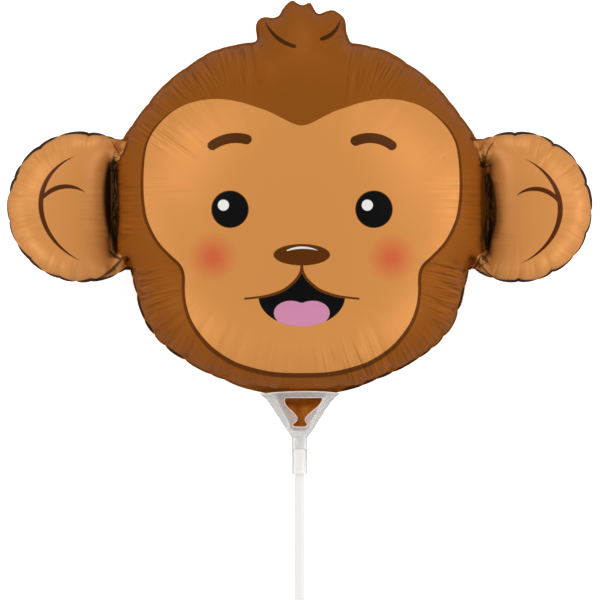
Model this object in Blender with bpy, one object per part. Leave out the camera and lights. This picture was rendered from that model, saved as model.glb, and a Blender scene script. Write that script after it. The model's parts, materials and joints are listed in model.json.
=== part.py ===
"""Monkey head foil balloon in a cup on a stick, lying on its back.

Two sheets of foil are welded along one outline, a head with two ears and a tuft of hair, and blown up.
The filling tail under the chin is drawn into a moulded cup, whose socket holds a hollow stick.

The pieces are modelled with the face towards +Z, the hair towards +Y and the chin's lowest point at the
origin. An empty then lays them on the floor, z = 0: the head rests on a flat spot on its back and the
stick on its free end. Sizes are in metres.
"""

import math

import bmesh
import bpy
import numpy as np
from mathutils import Matrix
from mathutils import Vector
from mathutils.geometry import delaunay_2d_cdt

# Head, inflated
HEAD_WIDTH = 0.1864
HEAD_HEIGHT = 0.1828  # chin to crown, without the tuft
HEAD_DEPTH = 0.108

# Half of the head's outline from chin to crown: shares of half the width and of the height
HEAD_OUTLINE = (
    (0.0, 0.0),
    (0.266, 0.0196),
    (0.420, 0.0476),
    (0.547, 0.0756),
    (0.723, 0.1317),
    (0.827, 0.1877),
    (0.879, 0.2437),
    (0.907, 0.2997),
    (0.955, 0.4100),
    (0.995, 0.5100),
    (1.0, 0.5800),
    (0.995, 0.6500),
    (0.981, 0.7115),
    (0.942, 0.7480),
    (0.821, 0.8320),
    (0.717, 0.8880),
    (0.607, 0.9300),
    (0.467, 0.9720),
    (0.245, 0.9960),
    (0.0, 1.0),
)

# Ears: round lobes that run into the head
EARS_SPAN = 0.300  # over both ears
EAR_DIAMETER = 0.0778
EAR_DEPTH = 0.034
EAR_RISE = 0.0973  # centre above the chin

# The flat weld that parts an ear from the head, and the passage that it leaves the air at each end
EAR_WELD_WIDTH = 0.0035
EAR_WELD_OFFSET = 0.0021  # from the head's widest place to the weld's middle
EAR_PASSAGE = 0.0055

# Tuft of hair on the crown
TUFT_WIDTH = 0.0471
TUFT_HEIGHT = 0.0210
TUFT_SHIFT = 0.0012  # towards +X

# Its round lobes: centre across and up, radius across and up, as shares of the tuft's width and height
TUFT_LOBES = (
    (0.0, 0.07, 0.478, 0.49),
    (-0.370, 0.244, 0.141, 0.317),
    (-0.125, 0.646, 0.141, 0.354),
    (0.022, 0.659, 0.130, 0.317),
    (0.326, 0.390, 0.168, 0.378),
)

# Welded edge outside the inflated foil
SEAM_WIDTH = 0.0028
SEAM_THICKNESS = 0.0006
SEAM_WAVE = 0.0005  # how far the edge waves towards the front and the back
SCALLOP_DEPTH = 0.0008

# Puckers that the slack foil makes along the seam
PUCKER_PITCH = 0.0102
PUCKER_DEPTH = 0.17  # share of the height just inside the seam
PUCKER_REACH = 0.011  # distance from the seam at which a third of it is left
PUCKER_STRAY = 0.16  # how far a pucker strays from its even place, as a share of the pitch
STRAY_TURN = 2.4  # radians from one pucker's stray to the next one's
TUFT_PUCKERS = 2.0  # how many times closer the puckers are round the small lobes of the tuft

# Filling tail, from the chin down into the cup's throat
TAIL_WIDTH = 0.020
TAIL_TAPER_LENGTH = 0.0123
TAIL_FOOT_WIDTH = 0.0084
TAIL_DIP = 0.0032  # how far its end reaches into the throat
TAIL_TAPER = 0.8  # below 1 the tail narrows faster near the chin

# Cup
CUP_MOUTH_WIDTH = 0.0414
CUP_MOUTH_DEPTH = 0.0260
CUP_WALL = 0.0009
CUP_RISE = 0.0013  # how far its rim stands above the chin's lowest point
CUP_RIM_ARCH = 0.0022  # extra height of the rim in front and behind
CUP_LIP = 0.14  # share of the flare that is in the lip
CUP_LIP_POWER = 12  # how close to the rim the lip keeps
FUNNEL_HEIGHT = 0.0223
CUP_TURN = math.radians(12.0)  # about the stick's axis

# Cup's throat and socket
THROAT_CLEARANCE = 0.0003
THROAT_DIAMETER = 0.0038
THROAT_LENGTH = 0.0063
SOCKET_LENGTH = 0.0185
SOCKET_WALL = 0.0011
SOCKET_CHAMFER = 0.00033

# Window in the cup's front and back walls
WINDOW_WIDTH = 0.0190
WINDOW_HEIGHT = 0.0141
WINDOW_DROP = 0.0021  # from the rim's sides to the window's top

# Half of the goblet-shaped window, from foot to top: shares of half the width and of the height
WINDOW_OUTLINE = (
    (0.227, 0.0),
    (0.350, 0.036),
    (0.390, 0.087),
    (0.257, 0.164),
    (0.205, 0.258),
    (0.270, 0.400),
    (0.516, 0.564),
    (0.820, 0.760),
    (1.0, 0.910),
    (0.990, 0.965),
    (0.930, 1.0),
)

# Stick
STICK_DIAMETER = 0.0052
STICK_BORE = 0.0042
STICK_LENGTH = 0.300
FIT_CLEARANCE = 0.0003

# Flat spot on the back of the head: how deep the floor presses into its roundness
FLAT_DEPTH = 0.0031

# Fineness of the surfaces
OUTLINE_STEP = 0.0015
SAMPLES_PER_PUCKER = 3
INNER_SPACING = 0.0092
WELD_POINT_SPACING = 0.0042

# Rows of points inside the outline: distance from it and least spacing, as shares of a pucker's pitch
RING_DEPTHS = (0.51, 0.86, 1.37, 2.01)
RING_SPACINGS = (0.204, 0.235, 0.33, 0.49)

# Rows of points round an ear's weld: distance from it and least spacing, as shares of the weld's width
WELD_RING_DEPTHS = (0.74, 1.77, 3.14)
WELD_RING_SPACINGS = (0.60, 0.78, 1.14)
CUP_SEGMENTS = 40
FUNNEL_ROWS = 8
STICK_SEGMENTS = 28


def smooth_curve(points, closed, per_span):
    """Points on a Catmull-Rom curve through the given ones, with per_span of them to each span."""
    points = np.asarray(points, dtype=float)
    if closed:
        padded = np.vstack([points[-1], points, points[0], points[1]])
    else:
        first = 2 * points[0] - points[1]
        last = 2 * points[-1] - points[-2]
        padded = np.vstack([first, points, last])
    t = np.linspace(0.0, 1.0, per_span, endpoint=False)[:, None]
    spans = []
    for a, b, c, d in zip(padded, padded[1:], padded[2:], padded[3:]):
        spans.append(
            0.5 * (2 * b + (c - a) * t + (2 * a - 5 * b + 4 * c - d) * t**2 + (3 * b - a - 3 * c + d) * t**3)
        )
    curve = np.vstack(spans)
    return curve if closed else np.vstack([curve, points[-1]])


def loop_lengths(loop):
    """Distance along a closed loop from its first point to each point, and all the way round."""
    steps = np.linalg.norm(np.roll(loop, -1, axis=0) - loop, axis=1)
    along = np.concatenate([[0.0], np.cumsum(steps)])
    return along[:-1], along[-1]


def points_along(loop, distances):
    """Points at the given distances along a closed loop."""
    along, total = loop_lengths(loop)
    along = np.append(along, total)
    closed = np.vstack([loop, loop[:1]])
    return np.column_stack([np.interp(distances, along, closed[:, k]) for k in range(2)])


def even_loop(loop, step):
    """The closed loop with evenly spaced points, about step apart."""
    _, total = loop_lengths(loop)
    count = max(8, round(total / step))
    return points_along(loop, np.arange(count) * total / count)


def ellipse(centre, radii, step):
    """An ellipse as a loop, anticlockwise."""
    count = max(16, round(2 * math.pi * max(radii) / step))
    turn = np.arange(count) * 2 * math.pi / count
    return np.column_stack([centre[0] + radii[0] * np.cos(turn), centre[1] + radii[1] * np.sin(turn)])


def capsule(centre, width, length, step):
    """An upright strip with round ends as a loop, anticlockwise."""
    length = max(length, width * 1.01)
    radius = width / 2
    straight = length - width
    ends = max(3, round(math.pi * radius / step))
    turn = np.linspace(0.0, math.pi, ends)
    top = np.column_stack([radius * np.cos(turn), straight / 2 + radius * np.sin(turn)])
    loop = np.vstack([top, -top])
    return even_loop(loop + np.asarray(centre), step)


def is_inside(points, loop):
    """Whether each point is inside the closed loop: it is crossed an odd number of times on one side."""
    x, y = points[:, 0][:, None], points[:, 1][:, None]
    ax, ay = loop[:, 0], loop[:, 1]
    bx, by = np.roll(ax, -1), np.roll(ay, -1)
    spans = (ay > y) != (by > y)
    rise = np.where(by == ay, 1e-12, by - ay)
    crossing = ax + (y - ay) / rise * (bx - ax)
    return (np.sum(spans & (x < crossing), axis=1) % 2).astype(bool)


def distance_to_loop(points, loop):
    """Distance of each point from the closed loop's nearest edge."""
    a = loop
    edge = np.roll(loop, -1, axis=0) - a
    offset = points[:, None, :] - a[None, :, :]
    share = np.clip(np.sum(offset * edge, axis=2) / np.sum(edge * edge, axis=1), 0.0, 1.0)
    gap = offset - share[:, :, None] * edge[None, :, :]
    return np.sqrt(np.min(np.sum(gap * gap, axis=2), axis=1))


def inward_normals(loop):
    """Unit normals that point into an anticlockwise loop."""
    run = np.roll(loop, -1, axis=0) - np.roll(loop, 1, axis=0)
    run /= np.linalg.norm(run, axis=1)[:, None]
    return np.column_stack([-run[:, 1], run[:, 0]])


def union_of(loops):
    """The outer loop of the region that the loops cover together, anticlockwise."""
    points, faces = [], []
    for loop in loops:
        faces.append(list(range(len(points), len(points) + len(loop))))
        points.extend(Vector(p) for p in loop)
    points, _, triangles, _, _, _ = delaunay_2d_cdt(points, [], faces, 1, 1e-7)
    follows = {}
    for triangle in triangles:
        for a, b in zip(triangle, triangle[1:] + triangle[:1]):
            follows[a, b] = True
    onward = {a: b for a, b in follows if (b, a) not in follows}
    start = min(onward, key=lambda i: points[i].y)
    loop, here = [], start
    while not loop or here != start:
        loop.append(points[here][:])
        here = onward[here]
    return np.array(loop)


def eased(loop, times):
    """The closed loop with its corners rounded a little, by averaging each point with its neighbours."""
    for _ in range(times):
        loop = 0.5 * loop + 0.25 * (np.roll(loop, 1, axis=0) + np.roll(loop, -1, axis=0))
    return loop


def ear_centre(side):
    return np.array([side * (EARS_SPAN - EAR_DIAMETER) / 2, EAR_RISE])


def ear_weld_x():
    """The weld lies just outside the widest place of the head."""
    return HEAD_WIDTH / 2 + EAR_WELD_OFFSET


def ear_weld(side, body):
    """The ear's weld as a loop: upright, and short of the outline by the seam and the passage."""
    x = side * ear_weld_x()
    after = np.roll(body, -1, axis=0)
    crosses = (body[:, 0] > x) != (after[:, 0] > x)
    a, b = body[crosses], after[crosses]
    heights = a[:, 1] + (x - a[:, 0]) / (b[:, 0] - a[:, 0]) * (b[:, 1] - a[:, 1])
    low, high = heights.min(), heights.max()
    length = high - low - 2 * (SEAM_WIDTH + EAR_PASSAGE)
    return capsule((x, (low + high) / 2), EAR_WELD_WIDTH, length, WELD_POINT_SPACING)


def body_outline():
    """The outline of head, ears and tuft, anticlockwise from the chin's lowest point."""
    right = np.array(HEAD_OUTLINE) * (HEAD_WIDTH / 2, HEAD_HEIGHT)
    left = right[-2:0:-1] * (-1, 1)
    loops = [smooth_curve(np.vstack([right, left]), True, 8)]
    for side in (1, -1):
        radius = EAR_DIAMETER / 2
        loops.append(ellipse(ear_centre(side), (radius, radius), OUTLINE_STEP))
    for across, up, radius_across, radius_up in TUFT_LOBES:
        centre = (TUFT_SHIFT + across * TUFT_WIDTH, HEAD_HEIGHT + up * TUFT_HEIGHT)
        loops.append(ellipse(centre, (radius_across * TUFT_WIDTH, radius_up * TUFT_HEIGHT), OUTLINE_STEP))
    loop = even_loop(union_of(loops), OUTLINE_STEP)
    loop = eased(loop, 3)
    return np.roll(loop, -int(np.argmin(loop[:, 1])), axis=0)


def pucker_samples(loop):
    """Points along the outline, the same number to each pucker, and the first of each in its valley."""
    along, total = loop_lengths(loop)
    steps = np.diff(np.append(along, total))
    in_tuft = loop[:, 1] > HEAD_HEIGHT
    puckers = np.concatenate([[0.0], np.cumsum(steps * np.where(in_tuft, TUFT_PUCKERS, 1.0))])
    count = round(puckers[-1] / PUCKER_PITCH)
    index = np.arange(count + 1)
    stray = PUCKER_STRAY * np.sin(STRAY_TURN * index) * (index > 0) * (index < count)
    valleys = (index + stray) * puckers[-1] / count
    shares = np.arange(SAMPLES_PER_PUCKER) / SAMPLES_PER_PUCKER
    phases = (valleys[:-1, None] + np.diff(valleys)[:, None] * shares).ravel()
    is_valley = np.tile(np.arange(SAMPLES_PER_PUCKER) == 0, count)
    return points_along(loop, np.interp(phases, puckers, np.append(along, total))), is_valley


def tail_outline():
    """The tail's left side from the chin to its end, and its right side back up."""
    depths = (0.0, 0.35, 0.7, 1.0)
    widths = [TAIL_WIDTH + (TAIL_FOOT_WIDTH - TAIL_WIDTH) * share**TAIL_TAPER for share in depths]
    end_width = THROAT_DIAMETER - 2 * THROAT_CLEARANCE
    left = [(-width / 2, -depth * TAIL_TAPER_LENGTH) for width, depth in zip(widths, depths)]
    throat_top = -(FUNNEL_HEIGHT - CUP_RISE - CUP_WALL)
    left.append((-end_width / 2, throat_top - THROAT_CLEARANCE))
    left.append((-end_width / 2, throat_top - TAIL_DIP))
    right = [(-x, y) for x, y in reversed(left)]
    return np.array(left[1:]), np.array(right[:-1])


def thinned(points, kept, spacing):
    """Indices of the points that stay at least spacing away from those kept and from each other."""
    chosen = []
    near = np.array(kept)
    for i, point in enumerate(points):
        if np.min(np.sum((near - point) ** 2, axis=1)) > spacing**2:
            chosen.append(i)
            near = np.vstack([near, point])
    return chosen


class FoilPlan:
    """The flat plan of the welded foil: its points, its triangles, and what is pinned by a weld."""

    def __init__(self):
        self.body = body_outline()
        samples, is_valley = pucker_samples(self.body)
        inward = inward_normals(samples)
        edge = samples + inward * (SCALLOP_DEPTH * is_valley)[:, None]
        self.points = []
        self.valley = []  # how deep in a pucker's valley each point is
        self.wave = []  # how far the edge waves at each point
        self.fixed_edges = []
        outline = self.add_edge_loop(edge)
        self.seam = self.seam_loop()
        self.add_loop(self.seam)
        self.welds = [ear_weld(side, self.body) for side in (1, -1)]
        for weld in self.welds:
            self.add_loop(weld)
        self.add_rings(samples, inward, is_valley)
        self.add_weld_rings()
        self.add_lattice()
        self.triangulate(outline)

    def add(self, points, valley):
        first = len(self.points)
        self.points.extend(points)
        self.valley.extend(valley)
        self.wave.extend([0.0] * len(points))
        return list(range(first, first + len(points)))

    def add_loop(self, loop):
        indices = self.add(loop, np.zeros(len(loop)))
        self.fixed_edges.extend(zip(indices, indices[1:] + indices[:1]))

    def seam_loop(self):
        """The inner edge of the weld: the outline moved inwards, which bends round its notches."""
        fine = even_loop(self.body, OUTLINE_STEP / 2)
        moved = fine + inward_normals(fine) * SEAM_WIDTH
        moved = moved[distance_to_loop(moved, self.body) > 0.97 * SEAM_WIDTH]
        return even_loop(moved, PUCKER_PITCH / SAMPLES_PER_PUCKER)

    def add_edge_loop(self, edge):
        """The foil's outer edge: the scalloped outline, with the tail in place of the chin's middle."""
        near_tail = (np.abs(edge[:, 0]) < TAIL_WIDTH / 2 + 0.5 * SEAM_WIDTH) & (edge[:, 1] < HEAD_HEIGHT / 4)
        away = edge[~near_tail]
        left, right = tail_outline()
        loop = np.vstack([away, left, right])
        indices = self.add(loop, np.zeros(len(loop)))
        turn = np.arange(len(away)) * 2 * math.pi / SAMPLES_PER_PUCKER
        for i, wave in enumerate(np.sin(turn + 0.6) * SEAM_WAVE):
            self.wave[indices[i]] = wave
        return indices

    def add_rings(self, samples, inward, is_valley):
        """Rows of points that follow the outline, each at its own distance inside it."""
        for depth, spacing in zip(RING_DEPTHS, RING_SPACINGS):
            distance = depth * PUCKER_PITCH
            gap = spacing * PUCKER_PITCH
            ring = samples + inward * distance
            keep = np.flatnonzero(distance_to_loop(ring, self.body) > 0.97 * distance)
            keep = [i for i in keep if self.is_clear(ring[i], gap)]
            chosen = thinned(ring[keep], self.points, gap)
            fade = math.exp(-(distance - SEAM_WIDTH) / PUCKER_REACH)
            self.add(ring[keep][chosen], is_valley[keep][chosen] * fade)

    def add_weld_rings(self):
        """Rows of points round the ears' welds."""
        for weld in self.welds:
            outward = -inward_normals(weld)
            for depth, spacing in zip(WELD_RING_DEPTHS, WELD_RING_SPACINGS):
                ring = weld + outward * depth * EAR_WELD_WIDTH
                keep = is_inside(ring, self.seam)
                chosen = thinned(ring[keep], self.points, spacing * EAR_WELD_WIDTH)
                self.add(ring[keep][chosen], np.zeros(len(chosen)))

    def add_lattice(self):
        """Evenly spread points over the rest, in rows a half step apart."""
        low, high = self.body.min(axis=0), self.body.max(axis=0)
        rows = np.arange(low[1], high[1], INNER_SPACING * math.sqrt(3) / 2)
        columns = np.arange(low[0], high[0], INNER_SPACING)
        lattice = np.array([(x + (r % 2) * INNER_SPACING / 2, y) for r, y in enumerate(rows) for x in columns])
        lattice = lattice[is_inside(lattice, self.seam)]
        chosen = thinned(lattice, self.points, INNER_SPACING * 0.66)
        self.add(lattice[chosen], np.zeros(len(chosen)))

    def is_clear(self, point, gap):
        """Whether a point keeps its distance from both ear welds, and is outside them."""
        for weld in self.welds:
            point_row = point[None, :]
            if is_inside(point_row, weld)[0] or distance_to_loop(point_row, weld)[0] < gap:
                return False
        return True

    def triangulate(self, outline):
        """Triangles over the plan, with every seam and weld kept as edges."""
        points = [Vector(p) for p in self.points]
        found, _, triangles, sources, _, _ = delaunay_2d_cdt(points, self.fixed_edges, [outline], 1, 1e-7)
        source = [s[0] for s in sources]
        self.points = np.array([p[:] for p in found])
        self.valley = np.array(self.valley)[source]
        self.wave = np.array(self.wave)[source]
        self.triangles = np.array(triangles)
        pinned = ~is_inside(self.points, self.seam)
        pinned |= distance_to_loop(self.points, self.seam) < 1e-6
        for weld in self.welds:
            pinned |= is_inside(self.points, weld) | (distance_to_loop(self.points, weld) < 1e-6)
        self.pinned = pinned


def membrane(plan):
    """The height of an evenly loaded membrane that is pinned at the welds, from linear finite elements."""
    corners = plan.points[plan.triangles]
    opposite = np.roll(corners, -1, axis=1) - np.roll(corners, 1, axis=1)
    area = 0.5 * np.abs(
        opposite[:, 0, 0] * opposite[:, 1, 1] - opposite[:, 0, 1] * opposite[:, 1, 0]
    )
    area = np.maximum(area, 1e-12)
    stiffness = np.einsum("tik,tjk->tij", opposite, opposite) / (4 * area)[:, None, None]
    count = len(plan.points)
    matrix = np.zeros((count, count))
    np.add.at(matrix, (plan.triangles[:, :, None], plan.triangles[:, None, :]), stiffness)
    load = np.zeros(count)
    np.add.at(load, plan.triangles, np.repeat(area[:, None] / 3, 3, axis=1))
    free = np.flatnonzero(~plan.pinned)
    height = np.zeros(count)
    height[free] = np.linalg.solve(matrix[np.ix_(free, free)], load[free])
    return np.maximum(height, 0.0)


def foil_profile(share):
    """Height share of inflated foil where a membrane would have this share of its own greatest height.

    A round foil balloon's section is the curve whose slope at radius r, in shares of its own radius, is
    r squared over the root of 1 - r to the fourth. A membrane's share there is 1 - r squared.
    """
    t = np.linspace(0.0, 1.0, 2001)
    radius = 1 - t**2  # close steps near the rim, where the slope has no limit
    slope = 2 * radius**2 / np.sqrt((1 + radius) * (1 + radius**2))
    height = np.concatenate([[0.0], np.cumsum(0.5 * (slope[1:] + slope[:-1]) * np.diff(t))])
    at = np.sqrt(1 - np.sqrt(np.clip(1 - share, 0.0, 1.0)))
    return np.interp(at, t, height) / height[-1]


def foil_heights(plan):
    """Half the inflated thickness at each point of the plan."""
    film = membrane(plan)
    across = np.abs(plan.points[:, 0])
    weld_x = ear_weld_x()
    in_ear = np.clip((across - weld_x) / (2 * EAR_WELD_WIDTH) + 0.5, 0.0, 1.0)
    in_ear = in_ear**2 * (3 - 2 * in_ear)
    film_head = film[across < weld_x].max()
    film_ear = film[across > weld_x].max()
    share = film / (film_head + (film_ear - film_head) * in_ear)
    depth = HEAD_DEPTH + (EAR_DEPTH - HEAD_DEPTH) * in_ear
    height = 0.5 * (depth - SEAM_THICKNESS) * foil_profile(np.minimum(share, 1.0))
    return height * (1 - PUCKER_DEPTH * plan.valley) + SEAM_THICKNESS / 2


def mesh_object(name, vertices, faces, material):
    mesh = bpy.data.meshes.new(name)
    mesh.from_pydata([tuple(v) for v in vertices], [], [tuple(f) for f in faces])
    mesh.materials.append(material)
    thing = bpy.data.objects.new(name, mesh)
    bpy.context.scene.collection.objects.link(thing)
    return thing


def make_balloon(material):
    """The whole foil envelope as one closed solid, before the floor flattens its back."""
    plan = FoilPlan()
    height = foil_heights(plan)
    front = np.column_stack([plan.points, plan.wave + height])
    back = np.column_stack([plan.points, plan.wave - height])
    count = len(plan.points)
    edges = set()
    for a, b, c in plan.triangles:
        edges.update([(a, b), (b, c), (c, a)])
    rim = [(a, b) for a, b in edges if (b, a) not in edges]
    faces = [tuple(t) for t in plan.triangles]
    faces += [tuple(t[::-1] + count) for t in plan.triangles]
    faces += [(b, a, a + count, b + count) for a, b in rim]
    return mesh_object("balloon", np.vstack([front, back]), faces, material)


def lay_down(balloon, stick_reach):
    """The tilt at which head and stick both touch the floor, and the height of the chin's lowest point."""
    points = np.array([v.co[:] for v in balloon.data.vertices])

    def drop(tilt):
        return -np.min(points[:, 1] * math.sin(tilt) + points[:, 2] * math.cos(tilt))

    def chin_height(tilt):
        return stick_reach * math.sin(tilt) + STICK_DIAMETER / 2 * math.cos(tilt)

    low, high = 0.0, math.radians(60.0)
    for _ in range(50):
        middle = (low + high) / 2
        if chin_height(middle) < drop(middle) - FLAT_DEPTH:
            low = middle
        else:
            high = middle
    return low, chin_height(low)


def flatten_back(balloon, tilt, chin_height):
    """Cut the back of the head off level with the floor, and give the flat spot's centre."""
    up = Vector((0.0, math.sin(tilt), math.cos(tilt)))
    mesh = bmesh.new()
    mesh.from_mesh(balloon.data)
    everything = mesh.verts[:] + mesh.edges[:] + mesh.faces[:]
    bmesh.ops.bisect_plane(
        mesh, geom=everything, dist=1e-7, plane_co=-up * chin_height, plane_no=up, clear_inner=True
    )
    rim = [edge for edge in mesh.edges if edge.is_boundary]
    flat = bmesh.ops.edgeloop_fill(mesh, edges=rim)["faces"][0]
    bmesh.ops.recalc_face_normals(mesh, faces=mesh.faces[:])
    centre = flat.calc_center_median_weighted()
    mesh.to_mesh(balloon.data)
    mesh.free()
    return centre


def socket_radius():
    return STICK_DIAMETER / 2 + FIT_CLEARANCE + SOCKET_WALL


def cup_ring(depth, across, through, arch):
    """One level of the cup: an oval depth below the rim, raised in front and behind by arch."""
    turn = np.arange(CUP_SEGMENTS) * 2 * math.pi / CUP_SEGMENTS
    up = CUP_RISE - depth + arch * np.sin(turn) ** 2
    return np.column_stack([across * np.cos(turn), up, -through * np.sin(turn)])


def funnel_ring(share, inset):
    """The funnel's section at a share of its height: a cone with a lip that flares out at the rim."""
    flare = (1 - CUP_LIP) * (1 - share) + CUP_LIP * (1 - share) ** CUP_LIP_POWER
    base = socket_radius()
    across = base + (CUP_MOUTH_WIDTH / 2 - base) * flare - inset
    through = base + (CUP_MOUTH_DEPTH / 2 - base) * flare - inset
    return cup_ring(share * FUNNEL_HEIGHT, across, through, CUP_RIM_ARCH * (1 - share) ** 3)


def make_cup(material):
    """The moulded cup: funnel, throat and socket in one turned, slightly oval shell."""
    shares = np.linspace(0.0, 1.0, FUNNEL_ROWS) ** 1.3
    outer = [funnel_ring(share, 0.0) for share in shares]
    socket_end = FUNNEL_HEIGHT + SOCKET_LENGTH
    outside = socket_radius()
    outer.append(cup_ring(socket_end - SOCKET_CHAMFER, outside, outside, 0.0))
    outer.append(cup_ring(socket_end, outside - SOCKET_CHAMFER, outside - SOCKET_CHAMFER, 0.0))
    bore = STICK_DIAMETER / 2 + FIT_CLEARANCE
    throat = THROAT_DIAMETER / 2
    floor = FUNNEL_HEIGHT - CUP_WALL
    inner = [
        cup_ring(socket_end, bore, bore, 0.0),
        cup_ring(floor + THROAT_LENGTH, bore, bore, 0.0),
        cup_ring(floor + THROAT_LENGTH, throat, throat, 0.0),
        cup_ring(floor, throat, throat, 0.0),
    ]
    inner += [funnel_ring(share, CUP_WALL) for share in reversed(shares[:-1] * 0.97)]
    rings = outer + inner
    faces = []
    for row in range(len(rings)):
        here, after = row * CUP_SEGMENTS, (row + 1) % len(rings) * CUP_SEGMENTS
        for i in range(CUP_SEGMENTS):
            j = (i + 1) % CUP_SEGMENTS
            faces.append((here + i, after + i, after + j, here + j))
    cup = mesh_object("cup", np.vstack(rings), faces, material)
    cup.rotation_euler.y = CUP_TURN
    cut = cup.modifiers.new("window", "BOOLEAN")
    cut.operation = "DIFFERENCE"
    cut.object = make_window_cutter(cup)
    return cup


def make_window_cutter(cup):
    """A prism of the window's outline, long enough to pass through both walls of the cup."""
    half = np.array(WINDOW_OUTLINE) * (WINDOW_WIDTH / 2, WINDOW_HEIGHT)
    half = smooth_curve(half, False, 3)
    half[:, 1] += CUP_RISE - WINDOW_DROP - WINDOW_HEIGHT
    loop = np.vstack([half, half[::-1] * (-1, 1)])
    count = len(loop)
    reach = CUP_MOUTH_DEPTH
    front = np.column_stack([loop, np.full(count, reach)])
    back = np.column_stack([loop, np.full(count, -reach)])
    faces = [tuple(range(count)), tuple(reversed(range(count, 2 * count)))]
    faces += [(i, i + count, (i + 1) % count + count, (i + 1) % count) for i in range(count)]
    cutter = mesh_object("window_cutter", np.vstack([front, back]), faces, cup.data.materials[0])
    cutter.hide_render = True
    cutter.display_type = "WIRE"
    cutter.parent = cup
    return cutter


def make_stick(material):
    """The hollow stick, from the socket's shoulder down."""
    top = CUP_RISE - (FUNNEL_HEIGHT - CUP_WALL) - THROAT_LENGTH - FIT_CLEARANCE
    turn = np.arange(STICK_SEGMENTS) * 2 * math.pi / STICK_SEGMENTS
    rings = []
    for radius, up in (
        (STICK_DIAMETER / 2, top),
        (STICK_DIAMETER / 2, top - STICK_LENGTH),
        (STICK_BORE / 2, top - STICK_LENGTH),
        (STICK_BORE / 2, top),
    ):
        level = np.full(STICK_SEGMENTS, up)
        rings.append(np.column_stack([radius * np.cos(turn), level, -radius * np.sin(turn)]))
    faces = []
    for row in range(4):
        here, after = row * STICK_SEGMENTS, (row + 1) % 4 * STICK_SEGMENTS
        for i in range(STICK_SEGMENTS):
            j = (i + 1) % STICK_SEGMENTS
            faces.append((here + i, after + i, after + j, here + j))
    return mesh_object("stick", np.vstack(rings), faces, material), STICK_LENGTH - top


def make_material(name, colour, roughness, metallic):
    material = bpy.data.materials.new(name)
    material.use_nodes = True
    shader = material.node_tree.nodes["Principled BSDF"]
    shader.inputs["Base Color"].default_value = (*colour, 1.0)
    shader.inputs["Roughness"].default_value = roughness
    shader.inputs["Metallic"].default_value = metallic
    return material


def main():
    for thing in list(bpy.data.objects):
        bpy.data.objects.remove(thing, do_unlink=True)

    foil = make_material("brown_foil", (0.30, 0.10, 0.02), 0.4, 0.3)
    milky = make_material("milky_plastic", (0.80, 0.77, 0.75), 0.35, 0.0)
    white = make_material("white_tube", (0.84, 0.80, 0.79), 0.4, 0.0)

    balloon = make_balloon(foil)
    cup = make_cup(milky)
    stick, stick_reach = make_stick(white)

    tilt, chin_height = lay_down(balloon, stick_reach)
    flat_centre = flatten_back(balloon, tilt, chin_height)
    lying = bpy.data.objects.new("lying", None)
    bpy.context.scene.collection.objects.link(lying)
    turn = Matrix.Rotation(tilt, 4, "X")
    lying.rotation_euler.x = tilt
    lying.location = (0.0, *-(turn @ flat_centre).yz)
    for thing in (balloon, cup, stick):
        thing.parent = lying
    for thing in (cup, stick):
        thing.data.shade_smooth()
        thing.data.set_sharp_from_angle(angle=math.radians(35))
    balloon.data.shade_smooth()


main()
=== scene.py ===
# Looks for the monkey head foil balloon: printed foil, milky cup, hollow stick, floor, lights and camera.
import json
import math
from functools import partial, reduce

import bpy
import numpy as np
from mathutils import Matrix
from mathutils import Vector
from mathutils.geometry import delaunay_2d_cdt


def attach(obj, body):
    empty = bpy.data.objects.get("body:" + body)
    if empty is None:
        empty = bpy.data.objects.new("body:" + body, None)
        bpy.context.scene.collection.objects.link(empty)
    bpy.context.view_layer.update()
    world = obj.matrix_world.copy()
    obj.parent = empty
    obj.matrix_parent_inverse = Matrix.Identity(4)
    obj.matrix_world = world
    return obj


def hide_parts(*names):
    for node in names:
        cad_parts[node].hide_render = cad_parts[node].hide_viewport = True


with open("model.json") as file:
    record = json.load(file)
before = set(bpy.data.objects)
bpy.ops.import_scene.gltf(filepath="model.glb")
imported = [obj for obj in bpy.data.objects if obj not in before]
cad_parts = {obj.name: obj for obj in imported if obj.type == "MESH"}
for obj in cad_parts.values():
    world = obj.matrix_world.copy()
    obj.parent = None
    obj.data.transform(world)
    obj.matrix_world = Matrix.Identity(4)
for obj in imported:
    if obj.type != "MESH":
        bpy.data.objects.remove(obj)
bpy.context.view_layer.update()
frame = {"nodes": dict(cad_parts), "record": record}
print("frame loaded:", sorted(frame["nodes"]))

# The part lies tilted, so its own frame is read from the stick's end:
# x to the right, y up to the hair with the chin's lowest point at 0, z out of the face.
stickMount = next(m for m in frame["record"]["mounts"] if m["name"] == "stick_end")
stickDown = 0.3267  # from the chin's lowest point to the stick's end
upAxis = -np.array(stickMount["axis"])
outAxis = np.array([0.0, -upAxis[2], upAxis[1]])
chinPlace = np.array([0.0, *stickMount["pos_m"][1:]]) + stickDown * upAxis


def toWorld(local):
    # x along X, y along the stick's axis, z square to both
    across = np.array([1.0, 0.0, 0.0])
    return chinPlace + local[:, :1] * across + local[:, 1:2] * upAxis + local[:, 2:3] * outAxis


studio = {
    "cameraAway": 2.6,
    "sensor": 36,
    "frameWidth": 0.3072,  # real width that the picture shows at the seam's plane
    "frameCentre": (0.00013, 0.04966),
    "floorSize": 16.0,
    "floorDrop": 0.0003,
    "floorGreys": (0.4, 0.9),  # to the light on the foil, and to the camera
    "floorGlow": 0.55,  # to the camera alone
    "skyStrength": 0.6,
    "skyInGloss": 0.25,  # share of it that the foil's gloss shows, beside the softboxes
    "seenThrough": 0.72,  # share of the white to the camera that also shows through the milky plastic
    "lampHeight": 0.02,  # of the place that the softboxes face, in front of the seam
}


# Plain tools for loops in the plan

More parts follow.
